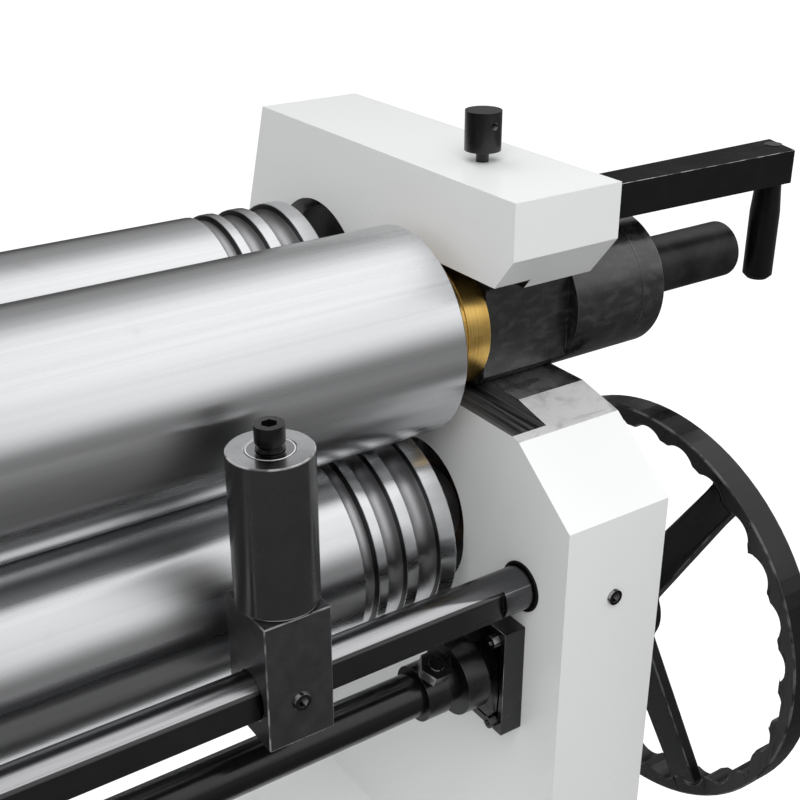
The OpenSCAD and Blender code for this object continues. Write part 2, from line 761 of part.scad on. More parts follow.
module lever_pin() color("dimgray") at_right() {
    foot = -upper_drop + housing_d / 2 + lever_foot_gap;
    translate([outer_face + lever_out, lever_back, foot])
        cylinder(h = -lever_drop + bracket_gap + bracket_plate - foot, r = lever_pin_d / 2);
}
module lever_handle() color("#1c1c1e") at_right()
    translate([outer_face + lever_out + lever_reach, lever_back + rivet_back, -lever_drop - lever_h]) {
        cylinder(h = lever_h + rivet_h, r = rivet_d / 2);
        mirror([0, 0, 1]) rotate_extrude() polygon([
            [0, 0], [handle_top_d / 2 - handle_neck, 0], [handle_top_d / 2, handle_neck],
            [handle_foot_d / 2, handle_len / 3], [handle_foot_d / 2, handle_len - handle_round],
            [handle_foot_d / 2 - handle_round, handle_len], [0, handle_len]
        ]);
    }

// Sliding bearings of the lower and the rear roll
module slider(r, screw_d, socket, screw_y) difference() {
    rod(r, slider_from, slider_to);
    rod(bush_r + fit, 0, frame_t);
    translate([frame_mid, screw_y, -r - over]) cylinder(h = socket + over, r = screw_d / 2 + fit);
}
module lower_slider() at(lower_back, lower_drop)
    slider(lower_slider_r, lift_screw_d, lift_nut_depth, lift_screw_back - lower_back);
module rear_slider() at(rear_back, rear_drop) rotate([rear_lean, 0, 0])
    slider(rear_slider_r, rear_screw_d, rear_socket, 0);
module lower_bearing_right() color("#2a2a2c") at_right() lower_slider();
module lower_bearing_left() color("#2a2a2c") at_left() lower_slider();
module rear_bearing_right() color("#2a2a2c") at_right() rear_slider();
module rear_bearing_left() color("#2a2a2c") at_left() rear_slider();
module lower_bushes() color("peru") both_ends() at(lower_back, lower_drop)
    tube(bush_r, journal_r + fit, slider_from, slider_to);
module rear_bushes() color("peru") both_ends() at(rear_back, rear_drop)
    tube(bush_r, journal_r + fit, slider_from, slider_to);

// Rear screws: the top seats in the slider, the star knob is under the frame's ledge
module rear_screw() at(rear_back, rear_drop) rotate([rear_lean, 0, 0])
    translate([frame_mid, 0, -rear_slider_r + rear_socket - slide_fit]) mirror([0, 0, 1])
        cylinder(h = rear_screw_len, r = rear_screw_d / 2);
module rear_knob() at(rear_back, rear_drop) rotate([rear_lean, 0, 0])
    translate([frame_mid, 0, -rear_slider_r + rear_socket - slide_fit - rear_screw_len - star_edge])
        difference() {
            union() {
                cylinder(h = star_h, r = star_d / 2 - star_edge);
                translate([0, 0, star_edge]) cylinder(h = star_h - 2 * star_edge, r = star_d / 2);
            }
            translate([0, 0, star_edge]) cylinder(h = star_h, r = rear_screw_d / 2 + fit);
            for (i = [1 : star_lobes]) rotate([0, 0, 360 / star_lobes * i])
                translate([star_d / 2 * star_cut_share, 0, -over])
                    cylinder(h = star_h + 2 * over, r = star_cut_r);
        }
module rear_screw_right() color("gray") at_right() rear_screw();
module rear_screw_left() color("gray") at_left() rear_screw();
module rear_knob_right() color("#1c1c1e") at_right() rear_knob();
module rear_knob_left() color("#1c1c1e") at_left() rear_knob();

// Cross shaft with its worms, bearings and collars
module at_cross(back = 0) at(back, cross_drop) children();
module cross_shaft() color("#2a2a2c") {
    at_right() at_cross() rod(cross_d / 2, -frame_gap / 2, outer_face + wheel_hub_to);
    at_left() at_cross() rod(cross_d / 2, -frame_gap / 2, outer_face);
}
module lift_worms() color("gray") both_ends() at_cross() difference() {
    union() {
        rod(worm_root_r, frame_mid - worm_len / 2, frame_mid + worm_len / 2);
        for (i = [-(worm_ridges - 1) / 2 : (worm_ridges - 1) / 2]) translate([i * worm_pitch, 0, 0])
            rod(worm_r, frame_mid - worm_ridge_w / 2, frame_mid + worm_ridge_w / 2);
    }
    rod(cross_d / 2 + fit, 0, frame_t);
}
module lift_screw() {
    low = -worm_wheel_t / 2 - pocket_gap - screw_foot + over;
    nut_top = -lower_drop - lower_slider_r + lift_nut_depth;
    top = nut_top - lift_screw_top_gap + cross_drop;
    at_cross(lift_screw_back) translate([frame_mid, 0, 0]) {
        translate([0, 0, low]) cylinder(h = top - low, r = lift_screw_d / 2);
        translate([0, 0, -worm_wheel_t / 2]) difference() {
            cylinder(h = worm_wheel_t, r = wheel_tip_r);
            translate([0, 0, -over]) cylinder(h = worm_wheel_t + 2 * over, r = lift_screw_d / 2 + fit);
            for (i = [1 : wheel_slots]) rotate([0, 0, 360 / wheel_slots * i])
                box_between([wheel_tip_r - wheel_slot_depth, -wheel_slot_w / 2, -over],
                    [wheel_tip_r + over, wheel_slot_w / 2, worm_wheel_t + over]);
        }
    }
}
module lift_screw_right() color("gray") at_right() lift_screw();
module lift_screw_left() color("gray") at_left() lift_screw();
module pad_corners() for (y = [-1, 1]) for (z = [-1, 1])
    translate([-pad_t, y * (pad_w / 2 - pad_bolt_in), z * (pad_h / 2 - pad_bolt_in) + pad_up - pad_h / 2])
        children();
module shaft_bearings() color("#232325") both_ends() at_cross() difference() {
    box_between([-pad_t, -pad_w / 2, pad_up - pad_h], [0, pad_w / 2, pad_up]);
    rod(cross_d / 2 + fit, -pad_t - over, over);
    pad_corners() rotate([0, 90, 0]) cylinder(h = pad_t + over, r = pad_bolt_d / 2 + fit);
}
module cover_bolts() at_cross() for (place = cover_bolt_places)
    translate([frame_t - 2 * cover_t, place[0], cross_drop + place[1]]) rotate([0, 90, 0]) children();
module cap_screws() color("#303033") {
    both_ends() at_cross() pad_corners() translate([pad_t + pad_bolt_grip - over, 0, 0])
        rotate([0, -90, 0]) socket_screw(pad_bolt_d, pad_t + pad_bolt_grip - over);
    at_right() at_bracket() bracket_bolts() translate([0, 0, -bracket_back + bracket_head])
        mirror([0, 0, 1]) translate([0, 0, -bracket_grip - bracket_back + bracket_head])
            socket_screw(bracket_bolt_d, bracket_grip + bracket_back - bracket_head, bracket_head);
    at_right() cover_bolts() socket_screw(cover_bolt_d, 3 * cover_t, cover_t / 2);
}
module lift_cover() color("whitesmoke") at_right() difference() {
    slab(outer_face, outer_face + cover_t) polygon([
        [-cover_front, -cover_bottom], [-cover_front, -cover_top - cover_cut],
        [-cover_front + cover_cut, -cover_top], [cover_back, -cover_top], [cover_back, -cover_bottom]
    ]);
    at_cross() rod(cross_d / 2 + fit, frame_mid, outer_face + 2 * cover_t);
    cover_bolts() cylinder(h = 4 * cover_t, r = cover_bolt_d / 2 + fit);
}
module hex_prism(d, h) cylinder(h = h, r = d * hex_across_share / 2 / cos(30), $fn = 6);
module shaft_collars() color("#2a2a2c") at_right() at_cross() {
    tube(collar_d / 2, cross_d / 2 + fit, -collar_at - collar_w, -collar_at);
    difference() {
        rod(stop_collar_d / 2, -stop_collar_at - collar_w, -stop_collar_at);
        rod(cross_d / 2 + fit, -stop_collar_at - 2 * collar_w, 0);
        stop_bolt_place() cylinder(h = stop_bolt_len, r = stop_bolt_d / 2 + fit);
    }
    stop_bolt_place() {
        translate([0, 0, cross_d / 2 + over]) cylinder(h = stop_bolt_len - cross_d / 2, r = stop_bolt_d / 2);
        translate([0, 0, stop_nut_at]) difference() {
            hex_prism(stop_bolt_d, stop_nut_h);
            translate([0, 0, -over]) cylinder(h = stop_nut_h + 2 * over, r = stop_bolt_d / 2 + fit);
        }
    }
}
module stop_bolt_place() translate([-stop_collar_at - collar_w / 2, 0, 0])
    rotate([stop_bolt_angle, 0, 0]) children();

// Handwheel with finger grips round the inside of its rim
module wheel_spoke() {
    reach = wheel_d / 2 - wheel_rim_t / 2;
    hub_in = wheel_spoke_in - wheel_dish;
    intersection() {
        slab(hub_in, wheel_spoke_in + wheel_spoke_t) polygon([
            [-wheel_spoke_root / 2, 0], [wheel_spoke_root / 2, 0],
            [wheel_spoke_tip / 2, reach], [-wheel_spoke_tip / 2, reach]
        ]);
        rotate([90, 0, 0]) linear_extrude(wheel_spoke_root, center = true) polygon([
            [hub_in, 0], [hub_in + wheel_spoke_t, 0],
            [wheel_spoke_in + wheel_spoke_t, reach], [wheel_spoke_in, reach]
        ]);
    }
}
module handwheel() color("#1c1c1e") at_right() at_cross() translate([outer_face + wheel_out, 0, 0])
    difference() {
        union() {
            difference() {
                rod(wheel_d / 2, 0, wheel_rim_w);
                rod(wheel_d / 2 - wheel_rim_t, -over, wheel_rim_w + over);
                for (i = [1 : wheel_grips]) rotate([360 / wheel_grips * i, 0, 0])
                    translate([0, 0, wheel_d / 2 - wheel_rim_t + wheel_grip_depth - wheel_grip_r])
                        rod(wheel_grip_r, -over, wheel_rim_w + over);
            }
            for (i = [1 : wheel_spokes]) rotate([90 - wheel_spoke_angle + 360 / wheel_spokes * i, 0, 0])
                wheel_spoke();
            rod(wheel_hub_d / 2, wheel_hub_from - wheel_out, wheel_hub_to - wheel_out);
        }
        rod(cross_d / 2 + fit, -wheel_out, wheel_hub_to);
    }
module wheel_bolt() color("#303033") at_right() at_cross() translate([outer_face + wheel_hub_to, 0, 0]) {
    rod(wheel_washer_d / 2, 0, wheel_washer_t);
    translate([wheel_washer_t, 0, 0]) rotate([0, 90, 0]) socket_screw(wheel_bolt_d, over);
}

// Guide for cones: a shaft, a block that slides on it and an upright roller
module at_guide() at_right() translate([-guide_at, -guide_front, -guide_drop]) children();
module at_roller() at_guide() translate([0, guide_block_back, guide_block_up + guide_foot_gap]) children();
module guide_shaft() color("#2a2a2c") difference() {
    union() {
        both_ends() at(-guide_front, guide_drop)
            rod(guide_shaft_d / 2, -frame_gap / 2, guide_hole_depth - over);
    }
    at_middle(-guide_front - guide_shaft_d / 2 + guide_flat_depth / 2, guide_drop)
        cube([frame_gap - 2 * guide_flat_end, guide_flat_depth, guide_shaft_d], center = true);
}
module guide_set_screws() color("#303033") both_ends() at(-guide_front, guide_drop)
    translate([frame_mid, -guide_shaft_d / 2 - fit, 0]) rotate([90, 0, 0])
        headless_screw(guide_set_d, front_step - guide_front - guide_shaft_d / 2 + guide_set_out);
module guide_block() color("#232325") at_guide() difference() {
    box_between([-guide_block_len / 2, -guide_block_face, -guide_block_down],
        [guide_block_len / 2, guide_block_depth - guide_block_face, guide_block_up]);
    rod(guide_shaft_d / 2 + fit, -guide_block_len, guide_block_len);
    rotate([90, 0, 0]) cylinder(h = guide_block_depth, r = guide_set_d / 2 + fit);
    translate([0, guide_block_back, guide_block_up - guide_screw_in])
        cylinder(h = guide_block_up, r = guide_screw_d / 2 + fit);
}
module guide_roller() color("#232325") at_roller() difference() {
    cylinder(h = guide_roller_len, r = guide_roller_d / 2);
    translate([0, 0, -over])
        cylinder(h = guide_roller_len + 2 * over, r = guide_bearing_d / 2 - guide_core_gap);
    translate([0, 0, -over]) cylinder(h = guide_bearing_w + over, r = guide_bearing_d / 2 + fit);
    translate([0, 0, guide_roller_len - guide_bearing_w])
        cylinder(h = guide_bearing_w + over, r = guide_bearing_d / 2 + fit);
}
module guide_bearings() color("silver") at_roller()
    for (z = [0, guide_roller_len - guide_bearing_w]) translate([0, 0, z]) difference() {
        cylinder(h = guide_bearing_w, r = guide_bearing_d / 2);
        translate([0, 0, -over]) cylinder(h = guide_bearing_w + 2 * over, r = guide_screw_d / 2 + fit);
    }
module guide_screws() color("#303033") {
    at_roller() {
        in_block = guide_foot_gap + guide_screw_in - over;
        translate([0, 0, -in_block])
            socket_screw(guide_screw_d, in_block + guide_roller_len + guide_neck);
        // Spacer under the head
        translate([0, 0, guide_roller_len + slide_fit + guide_washer_t - fit])
            cylinder(h = guide_neck - slide_fit - guide_washer_t + 2 * fit, r = guide_neck_d / 2);
        translate([0, 0, guide_roller_len + slide_fit]) difference() {
            cylinder(h = guide_washer_t, r = guide_washer_d / 2);
            translate([0, 0, -over])
                cylinder(h = guide_washer_t + 2 * over, r = guide_screw_d / 2 + fit);
        }
        translate([0, 0, slide_fit - guide_foot_gap]) difference() {
            cylinder(h = guide_foot_gap - 2 * slide_fit, r = guide_washer_d / 2);
            translate([0, 0, -over]) cylinder(h = guide_foot_gap + over, r = guide_screw_d / 2 + fit);
        }
    }
    flat = guide_shaft_d / 2 - guide_flat_depth;
    at_guide() translate([0, -flat - fit, 0]) rotate([90, 0, 0])
        headless_screw(guide_set_d, guide_block_face - flat + guide_set_out);
}

// Gears: teeth with straight flanks, slim enough to stay in mesh while the gap changes
function turned(p, a) = [p[0] * cos(a) - p[1] * sin(a), p[0] * sin(a) + p[1] * cos(a)];
function gear_points(n, root, tip, root_w) = [
    for (i = [0 : n - 1]) for (p = [
        [root, -root_w / 2], [tip, -gear_tip_w / 2], [tip, gear_tip_w / 2], [root, root_w / 2]
    ]) turned(p, 360 / n * i)
];
module gear(n, root, tip, root_w, phase) slab(gear_from, gear_to)
    rotate(phase) polygon(gear_points(n, root, tip, root_w));
pair_angle = atan2(-lower_rise, lower_back - upper_back);
pair_step = 360 / roll_teeth;
pinion_step = 360 / pinion_teeth;
module upper_gear() color("dimgray") at_left() at(upper_back, upper_drop) difference() {
    union() {
        gear(roll_teeth, gear_pitch_r - gear_dedendum, gear_pitch_r + gear_addendum, gear_root_w, pair_angle);
        rod(hub_r, gear_to - over, gear_to + hub_len);
    }
    box_between([gear_from - over, -tongue_slot_w / 2, -tongue_slot_h / 2],
        [gear_from + tongue_slot_depth, tongue_slot_w / 2, tongue_slot_h / 2]);
    rod(gear_shaft_r + fit, gear_from, plate_from);
}
module lower_gear() color("dimgray") at_left() at(lower_back, lower_drop) difference() {
    gear(roll_teeth, gear_pitch_r - gear_dedendum, gear_pitch_r + gear_addendum, gear_root_w,
        pair_angle + 180 + pair_step / 2);
    rod(lower_tail_r + fit, gear_from - over, gear_to + over);
}
module at_pinion() at(upper_back, upper_drop) {
    reach = gear_pitch_r + pinion_pitch_r + pinion_slack;
    translate([0, reach * cos(pinion_angle), reach * sin(pinion_angle)]) children();
}
// Turns the pinion so that a gap of it meets the upper gear's nearest tooth
function pinion_phase() = pinion_angle + 180 + pinion_step / 2
    + (pinion_angle - pair_angle - pair_step * round((pinion_angle - pair_angle) / pair_step))
    * roll_teeth / pinion_teeth;
module drive_pinion() color("dimgray") at_left() at_pinion() {
    gear(pinion_teeth, pinion_pitch_r - pinion_dedendum, pinion_pitch_r + gear_addendum, pinion_root_w,
        pinion_phase());
    rod(pinion_shaft_r, gear_from, plate_from + 2 * plate_t - over);
}
module plate_posts() {
    for (y = [post_front, plate_back - plate_corner]) translate([0, y, -post_top]) children();
    for (y = [plate_front + plate_corner, plate_back - plate_corner])
        translate([0, y, -plate_bottom + plate_corner]) children();
}
module gear_plate() color("gray") at_left() {
    difference() {
        box_between([plate_from, plate_front, -plate_bottom], [plate_from + plate_t, plate_back, -plate_top]);
        at_pinion() rod(pinion_shaft_r + over, plate_from - over, plate_from + plate_t + over);
    }
    plate_posts() rod(post_r, frame_t, plate_from);
    // Fixed shaft that the upper gear turns on
    at(upper_back, upper_drop) rod(gear_shaft_r, gear_from + tongue_slot_depth + over, plate_from);
}
module gearbox() color("gray") at_left() at_pinion() {
    from = plate_from + plate_t;
    half = gearbox_side / 2;
    difference() {
        slab(from, from + gearbox_len) polygon([
            [-half, -half + gearbox_edge], [-half + gearbox_edge, -half], [half - gearbox_edge, -half],
            [half, -half + gearbox_edge], [half, half - gearbox_edge], [half - gearbox_edge, half],
            [-half + gearbox_edge, half], [-half, half - gearbox_edge]
        ]);
        rod(pinion_shaft_r + fit, from - over, from + plate_t);
    }
}
module motor() color("steelblue") at_left() at_pinion() {
    from = plate_from + plate_t + gearbox_len;
    rod(motor_d / 2 - motor_fin_h, from, from + motor_len);
    for (i = [1 : motor_fins]) rotate([360 / motor_fins * i, 0, 0])
        box_between([from + gearbox_edge, -motor_fin_w / 2, motor_d / 2 - 2 * motor_fin_h],
            [from + motor_len * 2 / 3, motor_fin_w / 2, motor_d / 2]);
    rod(motor_d / 2, from + motor_len * 2 / 3, from + motor_len);
}

// Drive cabinet of bent sheet, with a side cover and the controls
module cabinet_ring(from, to, wall) difference() {
    box_between([from, -cabinet_front, -frame_h], [to, cabinet_back, cabinet_top]);
    box_between([from - over, -cabinet_front + wall, -frame_h + wall],
        [to + over, cabinet_back - wall, cabinet_top - wall]);
}
module drive_cabinet() color("whitesmoke") at_left() {
    end = frame_t + cabinet_len;
    cabinet_ring(frame_t + slide_fit, end, cabinet_t);
    // Lip that the side cover is screwed to
    cabinet_ring(end - cabinet_t, end, lip_w);
}
module drive_cover() color("whitesmoke") at_left() {
    end = frame_t + cabinet_len;
    box_between([end, -cabinet_front, -frame_h], [end + cabinet_t, cabinet_back, cabinet_top]);
}
module control_panel() color("dimgray") difference() {
    at_left() translate([panel_at, -cabinet_front, -panel_drop]) slab(-panel_w / 2, panel_w / 2) polygon([
        [0, 0], [-panel_t + panel_edge, 0], [-panel_t, -panel_edge],
        [-panel_t, -panel_h + panel_edge], [-panel_t + panel_edge, -panel_h], [0, -panel_h]
    ]);
    on_panel(stop_drop) mirror([0, 0, 1]) translate([0, 0, -over])
        cylinder(h = neck_in + stop_travel + 2 * over, r = stop_neck_d / 2 + fit);
    on_panel(switch_drop) mirror([0, 0, 1]) translate([0, 0, -over])
        cylinder(h = neck_in + 2 * over, r = switch_neck_d / 2 + fit);
}
module on_panel(drop) at_left() translate([panel_at, -cabinet_front - panel_t, -panel_drop - drop])
    rotate([90, 0, 0]) children();
module direction_switch() color("#1c1c1e") on_panel(switch_drop) translate([0, 0, slide_fit]) {
    cylinder(h = switch_h / 2, r = switch_d / 2);
    box_between([-switch_grip_w / 2, -switch_d / 2 + over, 0],
        [switch_grip_w / 2, switch_d / 2 - over, switch_h]);
    translate([0, 0, -neck_in]) cylinder(h = neck_in + over, r = switch_neck_d / 2);
}
module stop_button() color("firebrick") on_panel(stop_drop) translate([0, 0, slide_fit]) {
    translate([0, 0, stop_travel]) rotate_extrude() polygon([
        [0, 0], [stop_d / 2 - over, 0], [stop_d / 2, over], [stop_d / 2, stop_h / 3],
        [stop_d / 2 - over, stop_h / 2], [stop_neck_d / 2, stop_h - stop_travel], [0, stop_h - stop_travel]
    ]);
    translate([0, 0, -neck_in]) cylinder(h = neck_in + stop_h / 2, r = stop_neck_d / 2);
}

right_end_frame();
left_end_frame();
bed();
right_pedestal();
left_pedestal();
frame_bolts();
drive_cabinet();
drive_cover();
gear_plate();
gearbox();
motor();
drive_pinion();
upper_gear();
lower_gear();
upper_roll();
bearing_housing();
housing_cap();
thrust_rings();
upper_bushes();
swivel_block();
swivel_pins();
lock_screw();
lock_knob();
lever_bracket();
release_lever();
lever_pin();
lever_handle();
lower_roll();
lower_bearing_right();
lower_bearing_left();
lower_bushes();
rear_roll();
rear_bearing_right();
rear_bearing_left();
rear_bushes();
rear_screw_right();
rear_screw_left();
rear_knob_right();
rear_knob_left();
cross_shaft();
lift_worms();
handwheel();
wheel_bolt();
shaft_bearings();
cap_screws();
lift_cover();
lift_screw_right();
lift_screw_left();
shaft_collars();
guide_shaft();
guide_set_screws();
guide_block();
guide_roller();
guide_bearings();
guide_screws();
control_panel();
direction_switch();
stop_button();
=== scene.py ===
# %% [markdown]
# # A slip roll machine, seen close at its open end
# The machine bends sheet metal between three ground steel rolls. The solids come from the packed
# model, in metres and in one frame: +X along the rolls to the open end, +Y to the back, +Z up.
# This lesson dresses them: it softens their edges, gives each its real finish, and adds the small
# pieces that a maker screws on last.

# %% Load the solids
import json
import math

import bmesh
import bpy
from mathutils import Matrix, Vector


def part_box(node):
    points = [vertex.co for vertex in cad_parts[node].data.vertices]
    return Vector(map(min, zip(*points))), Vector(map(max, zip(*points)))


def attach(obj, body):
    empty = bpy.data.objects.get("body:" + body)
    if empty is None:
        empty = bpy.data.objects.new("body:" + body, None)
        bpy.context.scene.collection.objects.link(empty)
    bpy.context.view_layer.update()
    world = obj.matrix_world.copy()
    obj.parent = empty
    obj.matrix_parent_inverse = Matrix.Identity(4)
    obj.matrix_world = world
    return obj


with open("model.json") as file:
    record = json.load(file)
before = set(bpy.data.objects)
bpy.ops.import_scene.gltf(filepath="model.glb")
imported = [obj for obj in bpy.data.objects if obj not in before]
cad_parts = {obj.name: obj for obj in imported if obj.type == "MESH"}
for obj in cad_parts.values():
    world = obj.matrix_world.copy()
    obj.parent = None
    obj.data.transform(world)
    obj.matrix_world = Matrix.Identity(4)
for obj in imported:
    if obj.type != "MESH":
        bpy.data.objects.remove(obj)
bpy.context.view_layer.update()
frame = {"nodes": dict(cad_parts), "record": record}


solids = frame["nodes"]
bpy.ops.object.select_all(action="DESELECT")

# %% [markdown]
# ## Measures that the finishes and pieces share
# A finish such as a milled slot floor covers only part of a solid, so its material has to know where
# that part is. These places repeat the drawing's, in metres: the inner faces of the two end frames, the
# jaw's corner, and the axes of the three rolls.

# %% Places on the machine
MM = 0.001
FRAME_X = 0.820
JAW_Y = -0.0875
JAW_Z = 1.150
FRAME_T = 0.078
LEFT_X = -0.520


def right(x, y, z):
    """A place given in mm from the right frame's inner face, jaw front and top, in metres."""
    return Vector((FRAME_X + x * MM, JAW_Y + y * MM, JAW_Z + z * MM))


UPPER_AXIS = (JAW_Y + 0.081, JAW_Z - 0.097)
LOWER_AXIS = (JAW_Y + 0.085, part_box("lower_roll")[0][2] / 2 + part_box("lower_roll")[1][2] / 2)
REAR_AXIS = (JAW_Y + 0.218, JAW_Z - 0.116)
ROLL_R = 0.065
print("roll axes (y, z):", UPPER_AXIS, LOWER_AXIS, REAR_AXIS)

# %% [markdown]
# ## Soft edges
# No real edge is a perfect corner: castings are fettled, turned parts are broken with a file, and paint
# rounds over the rest. A narrow bevel catches the light the way these do. The solids are loose
# triangles, so a Weld comes first, then the Bevel, and Weighted Normal keeps the flat faces flat. The
# Bevel's clamp narrows all edges to suit the shortest, so the parts that show close up go without it.

# %% Bevel every solid
EDGE_MM = {
    "right_end_frame": 1.0, "left_end_frame": 1.0, "bed": 1.5, "right_pedestal": 1.5,
    "left_pedestal": 1.5, "drive_cabinet": 0.8, "drive_cover": 0.8, "bearing_housing": 0.7,
    "housing_cap": 0.8, "release_lever": 0.9, "guide_block": 0.7, "guide_roller": 0.8,
    "handwheel": 1.2, "lever_bracket": 0.8, "shaft_bearings": 0.9, "thrust_rings": 0.4,
    "gearbox": 2.0, "motor": 0.6, "lock_knob": 0.8, "lift_cover": 0.9, "control_panel": 1.0,
}
SMALL_EDGE_MM = 0.35
SHARP = math.radians(32)
UNCLAMPED = {"guide_block", "shaft_bearings", "housing_cap", "handwheel"}
for name, solid in solids.items():
    weld = solid.modifiers.new("join triangles", "WELD")
    weld.merge_threshold = 0.00002
    bevel = solid.modifiers.new("soft edge", "BEVEL")
    bevel.width = EDGE_MM.get(name, SMALL_EDGE_MM) * MM
    bevel.segments = 2
    bevel.limit_method = "ANGLE"
    bevel.angle_limit = SHARP
    bevel.use_clamp_overlap = name not in UNCLAMPED
    bevel.miter_outer = "MITER_ARC"
    flat = solid.modifiers.new("flat faces", "WEIGHTED_NORMAL")
    flat.keep_sharp = True
    flat.weight = 60
print("edges softened on", len(solids), "solids")

# %% [markdown]
# ## Colours and shader nodes
# Paint and metal colours are picked as sRGB hex values, the way a colour chart gives them. Blender
# wants linear light, so one function converts them. One more adds a shader node with its settings, its
# values and its links, which keeps each material's recipe short.

# %% Helpers for materials
def paint(code):
    """Linear RGBA of an sRGB hex colour."""
    channels = [int(code[i:i + 2], 16) / 255 for i in (1, 3, 5)]
    return [c / 12.92 if c <= 0.04045 else ((c + 0.055) / 1.055) ** 2.4 for c in channels] + [1.0]


def add(tree, kind, sockets=None, **settings):
    """Adds one shader node. sockets gives each input a value, or the output that feeds it."""
    node = tree.nodes.new("ShaderNode" + kind)
    for name, value in settings.items():
        setattr(node, name, value)
    for name, value in (sockets or {}).items():
        if isinstance(value, bpy.types.NodeSocket):
            tree.links.new(value, node.inputs[name])
        else:
            node.inputs[name].default_value = value
    return node


def start(name):
    """A new material with its tree, its Principled shader and its Object coordinates."""
    material = bpy.data.materials.new(name)
    material.use_nodes = True
    tree = material.node_tree
    tree.nodes.clear()
    shader = add(tree, "BsdfPrincipled")
    add(tree, "OutputMaterial", {"Surface": shader.outputs["BSDF"]})
    place = add(tree, "TexCoord").outputs["Object"]
    return material, tree, shader, place


print("white paint in linear light:", paint("#F4F5F5"))

# %% [markdown]
# ## White enamel
# The frames are thick steel plate, ground flat, primed and sprayed with a glossy white enamel. It is
# nearly mirror smooth, with a slight orange peel of about 2 mm, and shop dust settles on it as sparse
# dark specks.

# %% Mix enamel
def enamel(name, colour="#F4F5F5", roughness=0.22, specks=0.6):
    """Sprayed paint. specks is how strongly the dust shows, from 0 to 1."""
    material, tree, shader, place = start(name)
    peel = add(tree, "TexNoise", {
        "Vector": place, "Scale": 420.0, "Detail": 2.0}).outputs["Fac"]
    bump = add(tree, "Bump", {"Height": peel, "Strength": 0.04, "Distance": 0.0005})
    dust = add(tree, "TexVoronoi", {"Vector": place, "Scale": 70.0})
    speck = add(tree, "MapRange", {
        "Value": dust.outputs["Distance"], "From Min": 0.018, "From Max": 0.03,
        "To Min": specks, "To Max": 0.0})
    dirty = add(tree, "Mix", {
        "Factor": speck.outputs["Result"], 6: paint(colour),
        7: paint("#8E8C88")}, data_type="RGBA").outputs[2]
    tree.links.new(dirty, shader.inputs["Base Color"])
    tree.links.new(bump.outputs["Normal"], shader.inputs["Normal"])
    shader.inputs["Roughness"].default_value = roughness
    shader.inputs["IOR"].default_value = 1.45
    return material, tree, shader, place


white = enamel("white_enamel")[0]
print("mixed:", white.name)

# %% [markdown]
# ## Bare milled steel in the right frame's slot
# The slot for the bearing housing is milled after painting, so its floor, the short slope in front of
# it and the recess for the thrust rings are bare steel. Oil and black dust from the housing are wiped
# over it. The recess under the housing is painted nearly black, partly as black oil and partly as
# painted shade. The mask finds those faces by their height, their place along the rolls and their
# direction.

# %% Mask the bare faces and mix them into the enamel
def face_direction(tree):
    """A node that gives each face's own direction, before any bump, as X, Y and Z."""
    own = add(tree, "NewGeometry").outputs["True Normal"]
    return add(tree, "SeparateXYZ", {"Vector": own})


def drawn_out(tree, place, scale, detail, distortion=0.0):
    """A cloudy pattern with a scale for each axis. A small one draws it out into lines that way."""
    stretched = add(tree, "Mapping", {"Vector": place, "Scale": scale})
    clouds = add(tree, "TexNoise", {
        "Vector": stretched.outputs["Vector"], "Scale": 1.0, "Detail": detail,
        "Distortion": distortion})
    return clouds.outputs["Fac"]


slot_white, tree, shader, place = enamel("white_enamel_with_milled_slot")
axes = add(tree, "SeparateXYZ", {"Vector": place})
direction = face_direction(tree)
LIP_Z, FLOOR_Z, RECESS_TOP_Z = JAW_Z - 0.1414, JAW_Z - 0.130, JAW_Z - 0.0537
RECESS_DEPTH = 0.026
WALL_REACH, CEILING_REACH, DEPTH_REACH = 0.0007, 0.0015, RECESS_DEPTH / 2 + 0.0002
low = add(tree, "Math", {
    0: axes.outputs["Z"], 1: (LIP_Z + FLOOR_Z) / 2,
    2: (FLOOR_Z - LIP_Z) / 2}, operation="COMPARE").outputs[0]
upward = add(tree, "Math", {
    0: direction.outputs["Z"], 1: 0.05}, operation="GREATER_THAN").outputs[0]
in_height = add(tree, "Math", {
    0: axes.outputs["Z"], 1: (LIP_Z + RECESS_TOP_Z) / 2,
    2: (RECESS_TOP_Z - LIP_Z) / 2}, operation="COMPARE").outputs[0]
back_wall = add(tree, "Math", {
    0: axes.outputs["X"], 1: FRAME_X + RECESS_DEPTH, 2: WALL_REACH}, operation="COMPARE").outputs[0]
wall = add(tree, "Math", {0: in_height, 1: back_wall}, operation="MULTIPLY").outputs[0]
downward = add(tree, "Math", {
    0: direction.outputs["Z"], 1: -0.9}, operation="LESS_THAN").outputs[0]
in_recess = add(tree, "Math", {
    0: axes.outputs["X"], 1: FRAME_X + RECESS_DEPTH / 2,
    2: DEPTH_REACH}, operation="COMPARE").outputs[0]
at_top = add(tree, "Math", {
    0: axes.outputs["Z"], 1: RECESS_TOP_Z, 2: CEILING_REACH}, operation="COMPARE").outputs[0]
ceiling = add(tree, "Math", {
    0: add(tree, "Math", {0: at_top, 1: in_recess}, operation="MULTIPLY").outputs[0],
    1: downward}, operation="MULTIPLY").outputs[0]
bottom = add(tree, "Math", {0: low, 1: upward}, operation="MULTIPLY").outputs[0]
bare = add(tree, "Math", {
    0: add(tree, "Math", {0: bottom, 1: wall}, operation="MAXIMUM").outputs[0],
    1: ceiling}, operation="MAXIMUM").outputs[0]
cuts = drawn_out(tree, place, (60.0, 900.0, 260.0), 3.0)
smear = add(tree, "TexNoise", {
    "Vector": place, "Scale": 38.0, "Detail": 4.0, "Distortion": 1.2}).outputs["Fac"]
grime = add(tree, "MapRange", {
    "Value": smear, "From Min": 0.38, "From Max": 0.52, "To Min": 0.45,
    "To Max": 0.0}, interpolation_type="SMOOTHSTEP").outputs["Result"]
